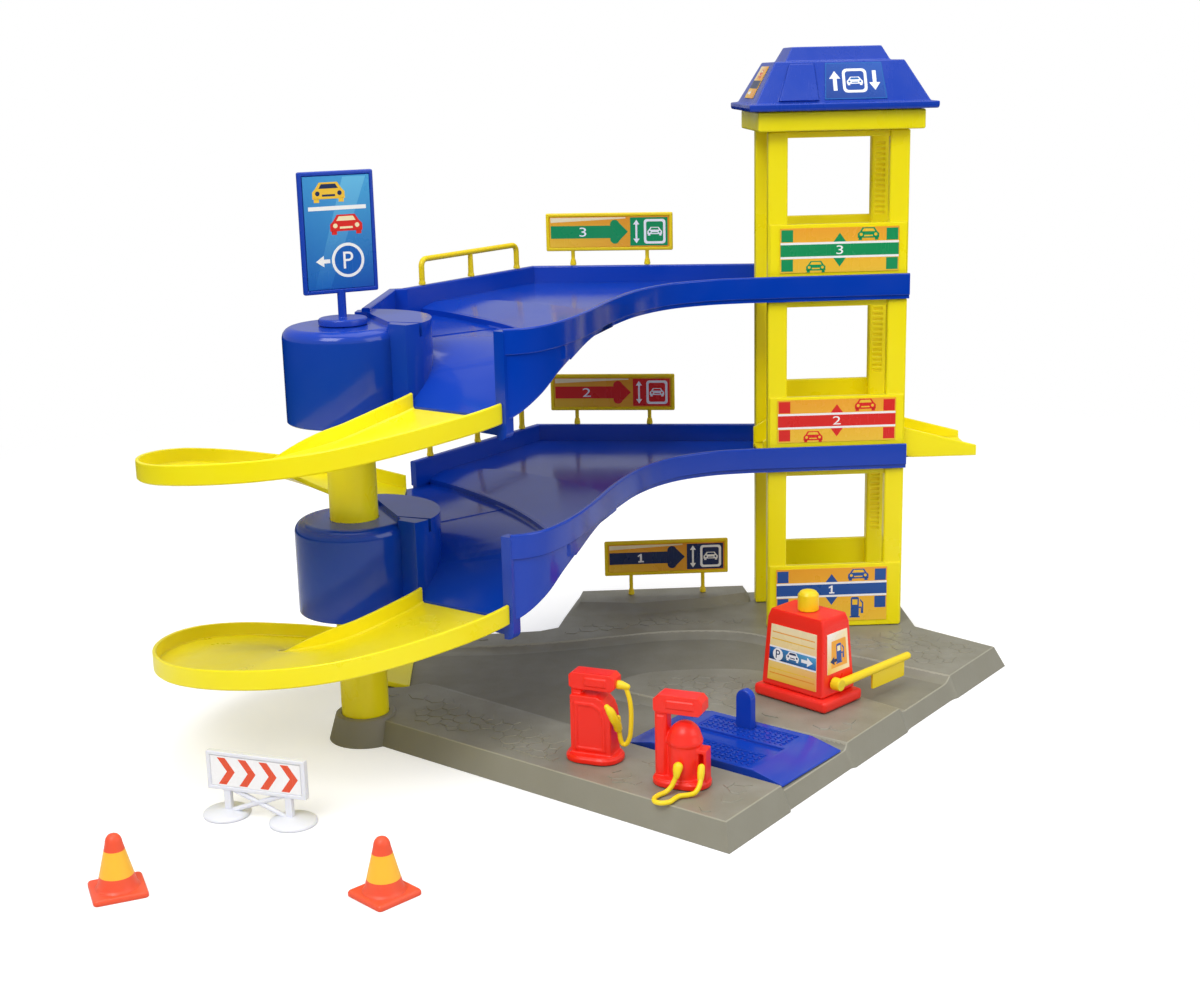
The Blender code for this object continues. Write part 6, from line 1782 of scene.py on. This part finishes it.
def studio_world():
    """White where the camera sees it, and greyer as light and in reflections."""
    world = bpy.data.worlds.new("studio")
    world.use_nodes = True
    tree = world.node_tree
    rays = tree.nodes.new("ShaderNodeLightPath").outputs
    seen = maths(tree, "MAXIMUM", rays["Is Camera Ray"], rays["Is Transmission Ray"])
    level = wired(tree, "ShaderNodeMix", {
        "Factor": seen, "A": ranged(tree, rays["Is Glossy Ray"], to_min=0.62, to_max=0.42), "B": 1.0},
        data_type="FLOAT")
    fed(tree, tree.nodes["Background"], {"Color": WHITE, "Strength": level.outputs["Result"]})
    return world


def placed_camera():
    """The camera from which the photograph was taken."""
    camera = bpy.data.cameras.new("camera")
    camera.sensor_width = 36.0
    camera.sensor_fit = "HORIZONTAL"
    camera.lens = 51.594
    camera.clip_start = 0.02
    ob = linked("camera", camera)
    forward = Vector((math.sin(YAW) * math.cos(PITCH), math.cos(YAW) * math.cos(PITCH), -math.sin(PITCH)))
    right = Vector((math.cos(YAW), -math.sin(YAW), 0.0))
    up = right.cross(forward)
    side = right * math.cos(ROLL) + up * math.sin(ROLL)
    head = up * math.cos(ROLL) - right * math.sin(ROLL)
    place, = in_frame([CAMERA_PLACE])
    ob.matrix_world = Matrix((*((side[i], head[i], -forward[i], place[i]) for i in range(3)), (0.0, 0.0, 0.0, 1.0)))
    return ob


class GARAGE_OT_stage(bpy.types.Operator):
    """Sets the pale floor, the soft light and the camera"""
    bl_idname = "garage.stage"
    bl_label = "Stage"

    def execute(self, context):
        scene = context.scene
        half = scene.garage_sizes.floor_size / 2
        mesh = bpy.data.meshes.new("studio_floor")
        mesh.from_pydata([(-half, -half, 0), (half, -half, 0), (half, half, 0), (-half, half, 0)], [], [(0, 1, 2, 3)])
        mesh.materials.append(floor_finish())
        floor = linked("studio_floor", mesh)
        scene.world = studio_world()
        for name, (place, aim, width, power) in LAMPS.items():
            lamp = bpy.data.lights.new(name, "AREA")
            lamp.size = width
            lamp.energy = power
            ob = linked(name, lamp)
            ob.location = place
            ob.rotation_euler = (Vector(aim) - Vector(place)).to_track_quat("-Z", "Y").to_euler()
        scene.camera = placed_camera()
        scene.view_settings.view_transform = "Standard"
        return {"FINISHED"}


class GARAGE_PT_panel(bpy.types.Panel):
    """Lists the garage's pieces in the sidebar"""
    bl_label = "Toy parking garage"
    bl_idname = "GARAGE_PT_panel"
    bl_space_type = "VIEW_3D"
    bl_region_type = "UI"
    bl_category = "Garage"

    def draw(self, context):
        column = self.layout.column()
        for name in STEPS:
            column.operator(f"garage.{name}")
        for group in (context.scene.garage_sizes, context.scene.garage_colours):
            for name in group.__annotations__:
                column.prop(group, name)


STEPS = ("forecourt", "decks", "ramps", "tower", "signs", "booth", "service", "pumps", "road_pieces", "labels",
         "stage")
CLASSES = (GarageSizes, GarageColours, GARAGE_OT_forecourt, GARAGE_OT_decks, GARAGE_OT_ramps, GARAGE_OT_tower,
           GARAGE_OT_signs, GARAGE_OT_booth, GARAGE_OT_service, GARAGE_OT_pumps, GARAGE_OT_road_pieces,
           GARAGE_OT_labels, GARAGE_OT_stage, GARAGE_PT_panel)


def register():
    for cls in CLASSES:
        bpy.utils.register_class(cls)
    bpy.types.Scene.garage_sizes = bpy.props.PointerProperty(type=GarageSizes)
    bpy.types.Scene.garage_colours = bpy.props.PointerProperty(type=GarageColours)


def unregister():
    del bpy.types.Scene.garage_colours
    del bpy.types.Scene.garage_sizes
    for cls in reversed(CLASSES):
        bpy.utils.unregister_class(cls)


def main():
    register()
    for name in STEPS:
        getattr(bpy.ops.garage, name)()


if __name__ == "__main__":
    main()
